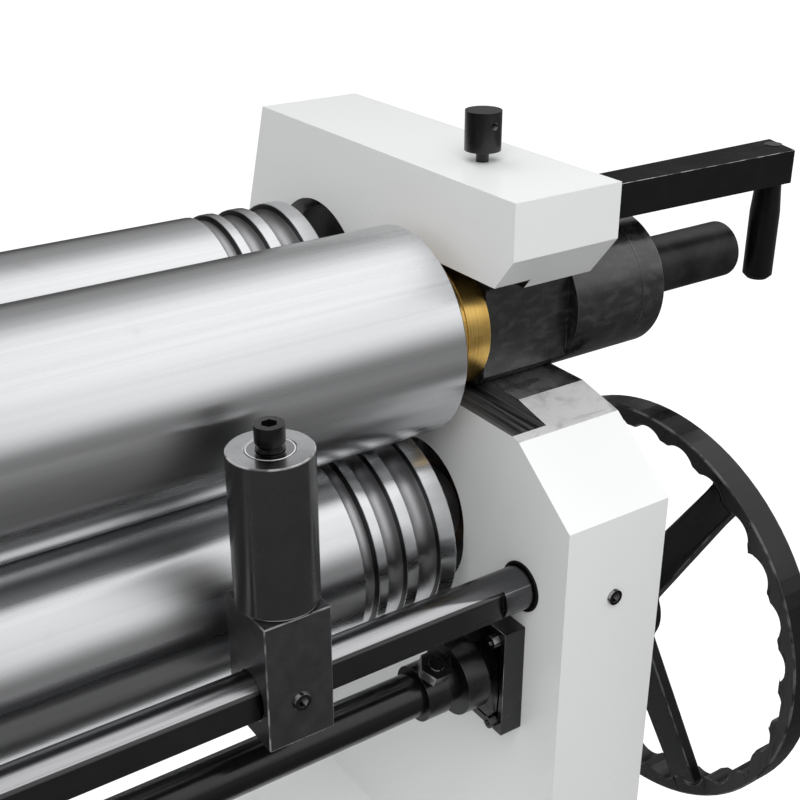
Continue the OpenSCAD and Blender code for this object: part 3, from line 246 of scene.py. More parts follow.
drawn = add(tree, "MapRange", {
    "Value": drawn_out(tree, place, (260.0, 10.0, 260.0), 3.0), "From Min": 0.35, "From Max": 0.75,
    "To Min": 1.0, "To Max": 0.84}, interpolation_type="SMOOTHSTEP").outputs["Result"]
# Painted shade: the recess under the housing is painted nearly black, partly as black oil
deep = add(tree, "Math", {0: in_recess, 1: drawn}, operation="MULTIPLY").outputs[0]
oil_and_recess_shade = add(tree, "Math", {0: grime, 1: deep}, operation="MAXIMUM").outputs[0]
steel = add(tree, "Mix", {
    "Factor": cuts, 6: paint("#D2D2D3"), 7: paint("#F0F0F1")}, data_type="RGBA").outputs[2]
oil_and_shade_colour = add(tree, "Mix", {
    "Factor": in_recess, 6: paint("#403F3E"), 7: paint("#0B0A0A")}, data_type="RGBA").outputs[2]
oily = add(tree, "Mix", {
    "Factor": oil_and_recess_shade, 6: steel, 7: oil_and_shade_colour}, data_type="RGBA").outputs[2]
# The lip in front of the slot slopes down, and is wiped and dulled to a light grey
sloping = add(tree, "Math", {
    0: direction.outputs["Y"], 1: -0.1}, operation="LESS_THAN").outputs[0]
lip = add(tree, "Math", {0: bottom, 1: sloping}, operation="MULTIPLY").outputs[0]
clouds = add(tree, "MapRange", {
    "Value": add(tree, "TexNoise", {
        "Vector": place, "Scale": 55.0, "Detail": 5.0, "Distortion": 0.4}).outputs["Fac"],
    "From Min": 0.3, "From Max": 0.5, "To Min": 0.6,
    "To Max": 0.0}, interpolation_type="SMOOTHSTEP").outputs["Result"]
strokes = add(tree, "MapRange", {
    "Value": drawn_out(tree, place, (25.0, 240.0, 240.0), 3.0), "From Min": 0.55, "From Max": 0.75,
    "To Min": 0.0, "To Max": 0.5}, interpolation_type="SMOOTHSTEP").outputs["Result"]
scuffs = add(tree, "Math", {0: clouds, 1: strokes}, operation="MAXIMUM").outputs[0]
dulled = add(tree, "Mix", {
    "Factor": scuffs, 6: paint("#D9D9D9"), 7: paint("#8F8F90")}, data_type="RGBA").outputs[2]
painted = shader.inputs["Base Color"].links[0].from_socket
milled = add(tree, "Mix", {"Factor": bare, 6: painted, 7: oily}, data_type="RGBA").outputs[2]
finish = add(tree, "Mix", {"Factor": lip, 6: milled, 7: dulled}, data_type="RGBA").outputs[2]
tree.links.new(finish, shader.inputs["Base Color"])
dull_lip = add(tree, "Math", {0: lip, 1: 0.8}, operation="MULTIPLY").outputs[0]
dull_recess = add(tree, "Math", {0: in_recess, 1: 0.85}, operation="MULTIPLY").outputs[0]
duller = add(tree, "Math", {0: dull_lip, 1: dull_recess}, operation="MAXIMUM").outputs[0]
shiny = add(tree, "Math", {0: 1.0, 1: duller}, operation="SUBTRACT").outputs[0]
metal = add(tree, "Math", {0: bare, 1: shiny}, operation="MULTIPLY").outputs[0]
tree.links.new(metal, shader.inputs["Metallic"])
sheen = add(tree, "MapRange", {
    "Value": smear, "From Min": 0.0, "From Max": 1.0, "To Min": 0.18,
    "To Max": 0.42}, interpolation_type="SMOOTHSTEP").outputs["Result"]
rough = add(tree, "Mix", {"Factor": bare, "A": 0.22, "B": sheen})
tree.links.new(rough.outputs[0], shader.inputs["Roughness"])
print("bare faces between z =", round(LIP_Z, 4), "and", round(RECESS_TOP_Z, 4))

# %% [markdown]
# ## Ground steel
# The rolls are turned, then ground between centres, so very fine lines run round them. The lines spread
# a reflection along the roll, which the shader's anisotropy does. Sheets that slide through polish long
# streaks along it. Grooves and end faces are only turned, and the walls of the grooves are painted dark
# as painted shade. The upper roll's stub outside the frame is left black from the forge.

# %% Grind the rolls
def distance_from(tree, place, axis, across):
    """How far a place lies from an axis. across is 1 for each direction that counts, and else 0."""
    offset = add(tree, "VectorMath", {0: place, 1: axis}, operation="SUBTRACT")
    flat = add(tree, "VectorMath", {
        0: offset.outputs["Vector"], 1: across}, operation="MULTIPLY")
    length = add(tree, "VectorMath", {0: flat.outputs["Vector"]}, operation="LENGTH")
    return length.outputs["Value"]


def ground_steel(name, axis, black_beyond=None):
    """Steel ground round an axis (y, z). Beyond the place black_beyond along it the steel is black."""
    material, tree, shader, place = start(name)
    streaks = drawn_out(tree, place, (2.0, 240.0, 240.0), 2.0)
    wiped = add(tree, "TexNoise", {
        "Vector": place, "Scale": 30.0, "Detail": 5.0}).outputs["Fac"]
    radius = distance_from(tree, place, (0.0, *axis), (0.0, 1.0, 1.0))
    turned = add(tree, "MapRange", {
        "Value": radius, "From Min": ROLL_R - 0.0009, "From Max": ROLL_R - 0.0005, "To Min": 1.0,
        "To Max": 0.0}, interpolation_type="SMOOTHSTEP").outputs["Result"]
    # Painted shade: the walls of the grooves are painted dark
    groove_edge = add(tree, "Math", {
        0: radius, 1: ROLL_R - 0.0021, 2: 0.0015}, operation="COMPARE").outputs[0]
    groove_wall_shade = add(tree, "Math", {0: groove_edge, 1: 0.8}, operation="MULTIPLY").outputs[0]
    colour = add(tree, "Mix", {
        "Factor": streaks, 6: paint("#D6D7D9"), 7: paint("#EEEFF0")}, data_type="RGBA").outputs[2]
    smudge = add(tree, "MapRange", {
        "Value": wiped, "From Min": 0.62, "From Max": 0.78, "To Min": 0.0,
        "To Max": 0.14}, interpolation_type="SMOOTHSTEP").outputs["Result"]
    smudged = add(tree, "Mix", {
        "Factor": smudge, 6: colour, 7: paint("#8C8C8D")}, data_type="RGBA").outputs[2]
    cut = add(tree, "Mix", {
        "Factor": turned, 6: smudged, 7: paint("#CBCBCD")}, data_type="RGBA").outputs[2]
    with_groove_shade = add(tree, "Mix", {
        "Factor": groove_wall_shade, 6: cut, 7: paint("#262627")}, data_type="RGBA").outputs[2]
    ground = add(tree, "MapRange", {
        "Value": streaks, "From Min": 0.2, "From Max": 0.8, "To Min": 0.27,
        "To Max": 0.29}, interpolation_type="SMOOTHSTEP").outputs["Result"]
    grooved = add(tree, "Math", {0: turned, 1: 0.4}, operation="MULTIPLY").outputs[0]
    smooth = add(tree, "Math", {0: ground, 1: grooved}, operation="MAXIMUM").outputs[0]
    along = add(tree, "VectorTransform", {"Vector": (1.0, 0.0, 0.0)},
                vector_type="VECTOR", convert_from="OBJECT", convert_to="WORLD")
    tree.links.new(along.outputs["Vector"], shader.inputs["Tangent"])
    shader.inputs["Anisotropic"].default_value = 0.8
    if black_beyond is None:
        tree.links.new(with_groove_shade, shader.inputs["Base Color"])
        tree.links.new(smooth, shader.inputs["Roughness"])
        shader.inputs["Metallic"].default_value = 1.0
        return material
    axes = add(tree, "SeparateXYZ", {"Vector": place})
    stub = add(tree, "Math", {
        0: axes.outputs["X"], 1: black_beyond}, operation="GREATER_THAN").outputs[0]
    flaky = add(tree, "MapRange", {
        "Value": add(tree, "TexNoise", {
            "Vector": place, "Scale": 45.0, "Detail": 6.0, "Distortion": 0.6}).outputs["Fac"],
        "From Min": 0.3, "From Max": 0.7, "To Min": 0.0,
        "To Max": 1.0}, interpolation_type="SMOOTHSTEP").outputs["Result"]
    scale = add(tree, "Mix", {
        "Factor": flaky, 6: paint("#0F0F10"), 7: paint("#2A2A2B")}, data_type="RGBA").outputs[2]
    # The lathe's centre leaves a small cone with a bright rim in the stub's end, and the cone is painted
    # near black as painted shade
    centre_hole_shade = add(tree, "MapRange", {
        "Value": radius, "From Min": 0.0045, "From Max": 0.005, "To Min": 1.0,
        "To Max": 0.0}, interpolation_type="SMOOTHSTEP").outputs["Result"]
    rim = add(tree, "Math", {0: radius, 1: 0.0056, 2: 0.0006}, operation="COMPARE").outputs[0]
    rimmed = add(tree, "Mix", {
        "Factor": rim, 6: scale, 7: paint("#8A8A8B")}, data_type="RGBA").outputs[2]
    end = add(tree, "Mix", {
        "Factor": centre_hole_shade, 6: rimmed, 7: paint("#020202")}, data_type="RGBA").outputs[2]
    whole = add(tree, "Mix", {"Factor": stub, 6: with_groove_shade, 7: end}, data_type="RGBA").outputs[2]
    tree.links.new(whole, shader.inputs["Base Color"])
    metal = add(tree, "Math", {0: 1.0, 1: stub}, operation="SUBTRACT").outputs[0]
    tree.links.new(metal, shader.inputs["Metallic"])
    rougher = add(tree, "Math", {0: stub, 1: 0.08, 2: smooth}, operation="MULTIPLY_ADD")
    tree.links.new(rougher.outputs[0], shader.inputs["Roughness"])
    return material


upper_steel = ground_steel("ground_steel_upper", UPPER_AXIS, FRAME_X + FRAME_T + 0.004)
lower_steel = ground_steel("ground_steel_lower", LOWER_AXIS)
rear_steel = ground_steel("ground_steel_rear", REAR_AXIS)
print("ground:", upper_steel.name, lower_steel.name, rear_steel.name)

# %% [markdown]
# ## Blackened steel
# The housing, lever and guide are mild steel, machined and then blackened hot and wiped with oil. The
# oxide is thin: it is glossy where oiled, smudged where handled, scratched here and there, and worn
# bright on the corners that hands and sheets rub. The corners are found by direction: the faces of a
# bevel lie between the directions of the two faces beside it.

# %% Blacken the steel parts
def bevelled(tree, edges):
    """1 on the soft edges of a box (edges XYZ), or of a part turned about the named axis."""
    own = add(tree, "NewGeometry").outputs["True Normal"]
    size = add(tree, "VectorMath", {0: own}, operation="ABSOLUTE")
    parts = add(tree, "SeparateXYZ", {"Vector": size.outputs["Vector"]})
    steepest = parts.outputs[edges[0]]
    for axis in edges[1:]:
        steepest = add(tree, "Math", {
            0: steepest, 1: parts.outputs[axis]}, operation="MAXIMUM").outputs[0]
    corner = add(tree, "MapRange", {
        "Value": steepest, "From Min": 0.955, "From Max": 0.975, "To Min": 1.0,
        "To Max": 0.0}, interpolation_type="SMOOTHSTEP").outputs["Result"]
    if edges == "XYZ":
        return corner
    off_axis = add(tree, "MapRange", {
        "Value": steepest, "From Min": 0.12, "From Max": 0.2, "To Min": 0.0,
        "To Max": 1.0}, interpolation_type="SMOOTHSTEP").outputs["Result"]
    return add(tree, "Math", {0: corner, 1: off_axis}, operation="MULTIPLY").outputs[0]


def blackened(name, colour="#0B0B0C", deep="#1B1B1C", gloss=0.2, scratch=0.6, wear=0.0, edges="XYZ",
              relief=0.1, metal=0.0, index=1.75, shine=0.5):
    """Oiled black oxide or black paint. wear is how bright the corners are rubbed, from 0 to 1."""
    material, tree, shader, place = start(name)
    smudge = add(tree, "TexNoise", {
        "Vector": place, "Scale": 85.0, "Detail": 6.0}).outputs["Fac"]
    oil = add(tree, "TexNoise", {
        "Vector": place, "Scale": 26.0, "Detail": 4.0, "Distortion": 0.8}).outputs["Fac"]
    marks = add(tree, "Mapping", {
        "Vector": place, "Rotation": (0.4, 0.9, 0.3), "Scale": (1100.0, 50.0, 1100.0)})
    cells = add(tree, "TexVoronoi", {"Vector": marks.outputs["Vector"], "Scale": 0.3})
    fine = add(tree, "MapRange", {
        "Value": cells.outputs["Distance"], "From Min": 0.015, "From Max": 0.04,
        "To Min": 0.35 * scratch, "To Max": 0.0}, interpolation_type="SMOOTHSTEP").outputs["Result"]
    oxide = add(tree, "Mix", {
        "Factor": smudge, 6: paint(colour), 7: paint(deep)}, data_type="RGBA").outputs[2]
    final = add(tree, "Mix", {
        "Factor": fine, 6: oxide, 7: paint("#6E6E70")}, data_type="RGBA").outputs[2]
    if wear:
        rubbed = add(tree, "MapRange", {
            "Value": smudge, "From Min": 0.4, "From Max": 0.6, "To Min": 0.15 * wear,
            "To Max": wear}, interpolation_type="SMOOTHSTEP").outputs["Result"]
        worn = add(tree, "Math", {
            0: bevelled(tree, edges), 1: rubbed}, operation="MULTIPLY").outputs[0]
        final = add(tree, "Mix", {
            "Factor": worn, 6: final, 7: paint("#C2C2C4")}, data_type="RGBA").outputs[2]
        level = add(tree, "Math", {0: worn, 1: 0.3 - metal, 2: metal},
                    operation="MULTIPLY_ADD")
        tree.links.new(level.outputs[0], shader.inputs["Metallic"])
    else:
        shader.inputs["Metallic"].default_value = metal
    tree.links.new(final, shader.inputs["Base Color"])
    sheen = add(tree, "MapRange", {
        "Value": oil, "From Min": 0.3, "From Max": 0.7, "To Min": gloss,
        "To Max": gloss + 0.16}, interpolation_type="SMOOTHSTEP").outputs["Result"]
    tree.links.new(sheen, shader.inputs["Roughness"])
    bump = add(tree, "Bump", {"Height": smudge, "Strength": relief, "Distance": 0.0004})
    tree.links.new(bump.outputs["Normal"], shader.inputs["Normal"])
    shader.inputs["IOR"].default_value = index
    shader.inputs["Specular IOR Level"].default_value = shine
    return material, tree, shader, place


black_steel = blackened("blackened_steel", "#08080A", "#101011", gloss=0.16, wear=0.6, edges="X",
                        shine=0.3)[0]
oxide_block = blackened("blued_block_steel", "#6E6E70", "#454547", gloss=0.2, scratch=1.0, wear=0.6,
                        metal=0.8, index=1.5)[0]
matt_lever = blackened("matt_black_lever", "#191919", "#232323", gloss=0.42, scratch=0.4, wear=0.9,
                       relief=0.12, index=1.3, shine=0.06)[0]
black_screw = blackened("black_oxide_screws", "#08080A", "#111112", gloss=0.2, scratch=0.2, wear=0.5,
                        edges="Z", shine=0.28)[0]
black_wheel = blackened("black_wheel_paint", "#060607", "#0E0E0F", gloss=0.16, scratch=0.2, wear=0.18,
                        edges="X", relief=0.04, index=1.45)[0]
black_grip = blackened("black_handle_paint", "#060607", "#0C0C0D", gloss=0.24, scratch=0.1, index=1.4)[0]
print("blackened:", black_steel.name, oxide_block.name, matt_lever.name, black_wheel.name)

# %% [markdown]
# ## The oily bearing housing
# The housing is turned and milled from forged steel and sits in oil, so it is mottled, with light
# scratches round it where it has been slid out of the slot. Its cap is a separate piece, and black oil
# marks the seam between them.

# %% Mix the housing's finish
oily_housing, tree, shader, place = blackened(
    "oily_black_housing", "#0A0A0B", "#1D1D1E", gloss=0.18, scratch=1.0, wear=0.35, edges="X",
    relief=0.6, index=1.8)
SEAM_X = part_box("housing_cap")[0][0]
axes = add(tree, "SeparateXYZ", {"Vector": place})
mottle = add(tree, "MapRange", {
    "Value": drawn_out(tree, place, (90.0, 190.0, 190.0), 7.0, 0.3), "From Min": 0.42, "From Max": 0.7,
    "To Min": 0.0, "To Max": 0.45}, interpolation_type="SMOOTHSTEP").outputs["Result"]
rings = add(tree, "MapRange", {
    "Value": drawn_out(tree, place, (900.0, 22.0, 22.0), 3.0), "From Min": 0.62, "From Max": 0.72,
    "To Min": 0.0, "To Max": 0.45}, interpolation_type="SMOOTHSTEP").outputs["Result"]
seam = add(tree, "Math", {
    0: axes.outputs["X"], 1: SEAM_X, 2: 0.0006}, operation="COMPARE").outputs[0]
scuffs = add(tree, "Math", {0: mottle, 1: rings}, operation="MAXIMUM").outputs[0]
oxide = shader.inputs["Base Color"].links[0].from_socket
scuffed = add(tree, "Mix", {
    "Factor": scuffs, 6: oxide, 7: paint("#4A4A4B")}, data_type="RGBA").outputs[2]
seamed = add(tree, "Mix", {
    "Factor": seam, 6: scuffed, 7: paint("#020202")}, data_type="RGBA").outputs[2]
tree.links.new(seamed, shader.inputs["Base Color"])
print("seam of the housing at x =", round(SEAM_X, 4))

# %% [markdown]
# ## The guide roller
# The roller's side is blackened, and its two ends are faced bright, so the screw mirrors in them.

# %% Mix the roller's finish
roller_steel, tree, shader, place = blackened(
    "blackened_roller_steel", "#232324", "#2C2C2D", gloss=0.14, scratch=0.4, wear=0.9, edges="Z",
    relief=0.05, index=1.6)
upright = add(tree, "Math", {0: face_direction(tree).outputs["Z"]}, operation="ABSOLUTE")
end = add(tree, "Math", {0: upright.outputs[0], 1: 0.97}, operation="GREATER_THAN").outputs[0]
faced = add(tree, "Mix", {
    "Factor": add(tree, "TexNoise", {
        "Vector": place, "Scale": 160.0, "Detail": 4.0}).outputs["Fac"],
    6: paint("#9B9B9C"), 7: paint("#B4B4B5")}, data_type="RGBA").outputs[2]
oxide = shader.inputs["Base Color"].links[0].from_socket
rubbed = shader.inputs["Metallic"].links[0].from_socket
colour = add(tree, "Mix", {"Factor": end, 6: oxide, 7: faced}, data_type="RGBA").outputs[2]
metal = add(tree, "Math", {0: end, 1: rubbed}, operation="MAXIMUM").outputs[0]
tree.links.new(colour, shader.inputs["Base Color"])
tree.links.new(metal, shader.inputs["Metallic"])
print("mixed:", roller_steel.name)

# %% [markdown]
# ## Guide shaft and ball bearings
# The guide's shaft is drawn round steel, thinly blued. Above the flat it is painted a bright band,
# partly a track that the sliding block rubs and partly painted highlight, which narrows and ends
# before the frame. Each ball bearing has a polished ring round a grey shield.

# %% Mix the shaft's and the bearings' finishes
blued, tree, shader, place = start("blued_shaft_steel")
low_corner, high_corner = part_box("guide_shaft")
SHAFT_Y = (low_corner[1] + high_corner[1]) / 2
SHAFT_Z = (low_corner[2] + high_corner[2]) / 2
axes = add(tree, "SeparateXYZ", {"Vector": place})
height = add(tree, "Math", {
    0: axes.outputs["Z"], 1: SHAFT_Z}, operation="SUBTRACT").outputs[0]
forward = add(tree, "Math", {
    0: SHAFT_Y, 1: axes.outputs["Y"]}, operation="SUBTRACT").outputs[0]
angle = add(tree, "Math", {0: height, 1: forward}, operation="ARCTAN2").outputs[0]
FLAT_ARRIS, BRIGHT_BAND_WIDTH = 0.62, 0.75
width = add(tree, "MapRange", {
    "Value": axes.outputs["X"], "From Min": FRAME_X - 0.085, "From Max": FRAME_X - 0.02,
    "To Min": BRIGHT_BAND_WIDTH, "To Max": 0.02}, interpolation_type="SMOOTHSTEP").outputs["Result"]
above = add(tree, "Math", {0: angle, 1: FLAT_ARRIS}, operation="SUBTRACT").outputs[0]
share = add(tree, "Math", {0: above, 1: width}, operation="DIVIDE").outputs[0]
lines = drawn_out(tree, place, (4.0, 420.0, 420.0), 4.0)
top_side = add(tree, "MapRange", {
    "Value": share, "From Min": 0.8, "From Max": 1.12, "To Min": 1.0,
    "To Max": 0.0}, interpolation_type="SMOOTHSTEP").outputs["Result"]
low_side = add(tree, "MapRange", {
    "Value": angle, "From Min": FLAT_ARRIS - 0.05, "From Max": FLAT_ARRIS + 0.02, "To Min": 0.0,
    "To Max": 1.0}, interpolation_type="SMOOTHSTEP").outputs["Result"]
drawn = add(tree, "MapRange", {
    "Value": lines, "From Min": 0.25, "From Max": 0.6, "To Min": 0.6,
    "To Max": 1.0}, interpolation_type="SMOOTHSTEP").outputs["Result"]
# Painted highlight: a bright band above the flat, partly a worn track
wear_and_highlight = add(tree, "Math", {
    0: add(tree, "Math", {0: top_side, 1: low_side}, operation="MULTIPLY").outputs[0],
    1: drawn}, operation="MULTIPLY").outputs[0]
dark = add(tree, "Mix", {
    "Factor": add(tree, "TexNoise", {
        "Vector": place, "Scale": 22.0, "Detail": 4.0}).outputs["Fac"],
    6: paint("#4E4E50"), 7: paint("#6A6A6C")}, data_type="RGBA").outputs[2]
colour = add(tree, "Mix", {
    "Factor": wear_and_highlight, 6: dark, 7: paint("#B9B9BB")}, data_type="RGBA").outputs[2]
tree.links.new(colour, shader.inputs["Base Color"])
shader.inputs["Metallic"].default_value = 1.0
rough = add(tree, "MapRange", {
    "Value": lines, "From Min": 0.2, "From Max": 0.8, "To Min": 0.24,
    "To Max": 0.34}, interpolation_type="SMOOTHSTEP").outputs["Result"]
tree.links.new(rough, shader.inputs["Roughness"])

shielded, tree, shader, place = start("shielded_ball_bearing")
ROLLER_X, ROLLER_Y, SHIELD_R = FRAME_X - 0.1662, JAW_Y - 0.018, 0.01215
radius = distance_from(tree, place, (ROLLER_X, ROLLER_Y, 0.0), (1.0, 1.0, 0.0))
polished = add(tree, "Math", {0: radius, 1: SHIELD_R}, operation="GREATER_THAN").outputs[0]
face = add(tree, "Mix", {
    "Factor": polished, 6: paint("#8A8A8C"), 7: paint("#F0F0F1")}, data_type="RGBA").outputs[2]
tree.links.new(face, shader.inputs["Base Color"])
shader.inputs["Metallic"].default_value = 1.0
shader.inputs["Roughness"].default_value = 0.22
print("mixed:", blued.name, shielded.name)

# %% [markdown]
# ## Brass, machined steel, grey paint and plastic
# The thrust rings are brass, turned on the outside and scratched across by the rings' slip. Gears and
# screws are plain machined steel, and the bushes are bronze, darkened partly by oil and partly as
# painted shade of their bores.

# %% Mix the other finishes
def turned_metal(name, light, dark, roughness, pitch_mm):
    """Metal with turning lines round X at that pitch, stains between them and nicks across them."""
    material, tree, shader, place = start(name)
    cut = drawn_out(tree, place, (1.0 / (pitch_mm * MM), 14.0, 14.0), 4.0)
    across = drawn_out(tree, place, (45.0, 750.0, 750.0), 3.0)
    stain = add(tree, "TexNoise", {
        "Vector": place, "Scale": 60.0, "Detail": 5.0}).outputs["Fac"]
    stained = add(tree, "Math", {0: cut, 1: stain}, operation="MULTIPLY").outputs[0]
    spread = add(tree, "MapRange", {"Value": stained, "From Min": 0.02, "From Max": 0.26})
    nick = add(tree, "MapRange", {"Value": across, "From Min": 0.27, "From Max": 0.34})
    level = add(tree, "Math", {
        0: spread.outputs["Result"], 1: nick.outputs["Result"]}, operation="MULTIPLY").outputs[0]
    colour = add(tree, "Mix", {
        "Factor": level, 6: paint(dark), 7: paint(light)}, data_type="RGBA").outputs[2]
    tree.links.new(colour, shader.inputs["Base Color"])
    bump = add(tree, "Bump", {"Height": cut, "Strength": 0.07, "Distance": 0.0002})
    tree.links.new(bump.outputs["Normal"], shader.inputs["Normal"])
    shader.inputs["Metallic"].default_value = 1.0
    shader.inputs["Roughness"].default_value = roughness
    return material


brass = turned_metal("turned_brass", "#FBD27A", "#B58232", 0.32, 0.5)
# Painted shade: the bronze of the bushes is darkened, partly as oil
bronze_with_painted_shade = turned_metal("oily_bronze_with_painted_shade", "#4A3524", "#1E1610", 0.4, 0.5)
shadow_ring_black = blackened("black_painted_shadow", "#0A0A0A", "#121212", gloss=0.55, scratch=0.0, index=1.45,
                   shine=0.3)[0]
machined = turned_metal("machined_steel", "#AEB0B3", "#6E7073", 0.34, 0.6)
grey = enamel("grey_machine_paint", "#5C6268", 0.4)[0]
panel_paint = enamel("dark_panel_paint", "#3A3B3D", 0.45)[0]
black_plastic = blackened("black_moulded_plastic", "#121213", gloss=0.42, scratch=0.0, index=1.5)[0]
red = enamel("red_button_plastic", "#B3161B", 0.3, 0.0)[0]
yellow = enamel("yellow_guard_plastic", "#E2B21C", 0.35, 0.0)[0]
pale = enamel("white_mark_paint", "#E6E6E4", 0.4, 0.0)[0]
print("mixed:", brass.name, machined.name, grey.name)

# %% Give each solid its finish
FINISH = {
    "enamel": white, "ground_steel": upper_steel, "gear_steel": machined, "plate_steel": machined,
    "bearing_steel": shielded, "black_steel": black_steel, "black_oxide": black_screw,
    "black_paint": black_wheel, "grey_iron": grey, "ring_brass": brass, "bush_bronze": bronze_with_painted_shade,
    "black_plastic": black_plastic, "panel_grey": panel_paint, "red_plastic": red,
}
slots = {part["node"]: part["material_slot"] for part in frame["record"]["subparts"]}
own = {
    "lower_roll": lower_steel, "rear_roll": rear_steel, "right_end_frame": slot_white,
    "guide_shaft": blued, "bearing_housing": oily_housing, "housing_cap": oily_housing,
    "release_lever": matt_lever, "lever_handle": black_grip, "lever_bracket": matt_lever,
    "guide_block": oxide_block, "guide_roller": roller_steel,
}
for name, solid in solids.items():
    solid.data.materials.clear()
    solid.data.materials.append(own.get(name, FINISH[slots[name]]))
print("finished:", len(solids), "solids")

# %% [markdown]
# ## Tools for the small pieces
# The screws, doors and vents below are modelled as by hand: a primitive at its size, then faces picked
# by their direction and inset or extruded. A piece that repeats is made once at the origin, and each
# copy gets its own mesh and its place in that mesh, so that its object stays at the origin.

# %% Start, cut and round pieces
def deselect():
    """Operators act on all that is selected, so a new piece starts with nothing selected."""
    bpy.ops.object.select_all(action="DESELECT")


def apply_size():
    """Puts the active piece's place, turn and size into its mesh."""
    bpy.ops.object.transform_apply(location=True, rotation=True, scale=True)


def cylinder(radius_mm, height_mm, sides=40, low_mm=0.0):
    """A new upright cylinder that starts at the height low_mm."""
    deselect()
    bpy.ops.mesh.primitive_cylinder_add(
        vertices=sides, radius=radius_mm * MM, depth=height_mm * MM,
        location=(0.0, 0.0, (low_mm + height_mm / 2) * MM))
    apply_size()


def pick(test):
    """Goes into edit mode on the active piece, and selects the faces whose direction passes the test."""
    bpy.ops.object.mode_set(mode="EDIT")
    bpy.ops.mesh.select_mode(type="FACE")
    bpy.ops.mesh.select_all(action="DESELECT")
    mesh = bmesh.from_edit_mesh(bpy.context.object.data)
    mesh.normal_update()
    for face in mesh.faces:
        face.select_set(test(face.normal))
    bmesh.update_edit_mesh(bpy.context.object.data)


def press(rim_mm, depth_mm, narrowing=(1.0, 1.0, 1.0)):
    """Insets the picked face by the rim and moves what is inside, out where depth_mm is positive."""
    bpy.ops.mesh.inset(thickness=rim_mm * MM)
    bpy.ops.mesh.extrude_region_shrink_fatten(
        TRANSFORM_OT_shrink_fatten={"value": depth_mm * MM, "use_even_offset": True})
    bpy.ops.transform.resize(value=narrowing)
    bpy.ops.object.mode_set(mode="OBJECT")


def round_edges(width_mm, segments=2):
    """Bevels the active piece's edges, shades it and merges what is left double."""
    piece = bpy.context.object
    apply_size()
    bevel = piece.modifiers.new("soft edge", "BEVEL")
    bevel.width = width_mm * MM
    bevel.segments = segments
    bevel.limit_method = "ANGLE"
    bevel.angle_limit = SHARP
    bpy.ops.object.modifier_apply(modifier="soft edge")
    bpy.ops.object.mode_set(mode="EDIT")
    bpy.ops.mesh.select_all(action="SELECT")
    bpy.ops.mesh.remove_doubles(threshold=0.00001)
    bpy.ops.mesh.normals_make_consistent(inside=False)
    bpy.ops.object.mode_set(mode="OBJECT")
    bpy.ops.object.shade_smooth_by_angle(angle=SHARP)
    return piece


# %% Place copies
def put(piece, name, finish, body="stand", places=None):
    """Gives the piece its finish and body. places are the matrices of its copies, each with its mesh."""
    piece.data.materials.clear()
    piece.data.materials.append(finish)
    places = places or [Matrix.Identity(4)]
    for index, place in enumerate(places):
        item = piece
        if index < len(places) - 1:
            item = piece.copy()
            item.data = piece.data.copy()
            bpy.context.scene.collection.objects.link(item)
        item.name = name if len(places) == 1 else f"{name}_{index + 1}"
        item.data.transform(place)
        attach(item, body)
    print(name, "made", len(places), "with", len(piece.data.polygons), "faces each")


def at(x, y, z, facing="up"):
    """The matrix that puts a piece modelled pointing up at (x, y, z) in mm, facing the way named."""
    turns = {"up": (0, 0, 0), "front": (90, 0, 0), "back": (-90, 0, 0), "right": (0, 90, 0),
             "left": (0, -90, 0)}
    x_turn, y_turn, z_turn = (math.radians(v) for v in turns[facing])
    turn = (Matrix.Rotation(z_turn, 4, "Z") @ Matrix.Rotation(y_turn, 4, "Y")
            @ Matrix.Rotation(x_turn, 4, "X"))
    return Matrix.Translation(Vector((x, y, z)) * MM) @ turn


# %% [markdown]
# ## Dark rings round the guide's shaft
# Where the guide's shaft enters each end frame, the gap round it lies in shadow. A thin black ring
# stands in for that shadow as painted shade, and shows as a dark line round the shaft. A short tube is
# enough: a cylinder whose two end faces are inset to the shaft's size and then opened through.

# %% Rings at the frames
def open_through():
    """Takes out the two picked faces and joins the rims of the holes they leave."""
    bpy.ops.mesh.delete(type="FACE")
    mesh = bmesh.from_edit_mesh(bpy.context.object.data)
    bpy.ops.mesh.select_mode(type="EDGE")
    for edge in mesh.edges:
        edge.select_set(edge.is_boundary)
    bmesh.update_edit_mesh(bpy.context.object.data)
    bpy.ops.mesh.bridge_edge_loops()
    bpy.ops.object.mode_set(mode="OBJECT")


def ring(inner_mm, outer_mm, thick_mm, edge_mm):
    """A flat ring that lies on the origin's plane, pointing up."""
    cylinder(outer_mm, thick_mm, sides=64)
    pick(lambda normal: abs(normal.z) > 0.9)
    bpy.ops.mesh.inset(thickness=(outer_mm - inner_mm) * MM)
    open_through()
    return round_edges(edge_mm)


# Painted shade: a black ring stands for the shadow in the gap round the shaft
put(ring(14.05, 16.4, 1.6, 0.5), "guide_shadow_ring", shadow_ring_black, "guide_shaft", [
    at(x / MM, SHAFT_Y / MM, SHAFT_Z / MM, side) for x, side in ((FRAME_X, "left"), (LEFT_X, "right"))])

# %% [markdown]
# ## Screws
# The panel and the cabinet's sheets are held by pan head screws with a round driving recess: a
# cylinder whose top is inset and pushed in, with a wide bevel for the dome.

# %% Model the screw and fix the control panel
def pan_screw(width_mm):
    """The head of a screw of that width, in the proportions that such screws have."""
    cylinder(width_mm / 2, 0.42 * width_mm, sides=28)
    pick(lambda normal: normal.z > 0.9)
    press(0.27 * width_mm, -0.2 * width_mm)
    return round_edges(0.1 * width_mm, 3)


PANEL_X, PANEL_Y, PANEL_Z = -710.0, -199.5, 965.0
panel_corners = [(PANEL_X + x, PANEL_Z + z) for x in (-55.0, 55.0) for z in (-84.0, 84.0)]
put(pan_screw(7.0), "panel_screw", black_screw,
    places=[at(x, PANEL_Y, z, "front") for x, z in panel_corners])

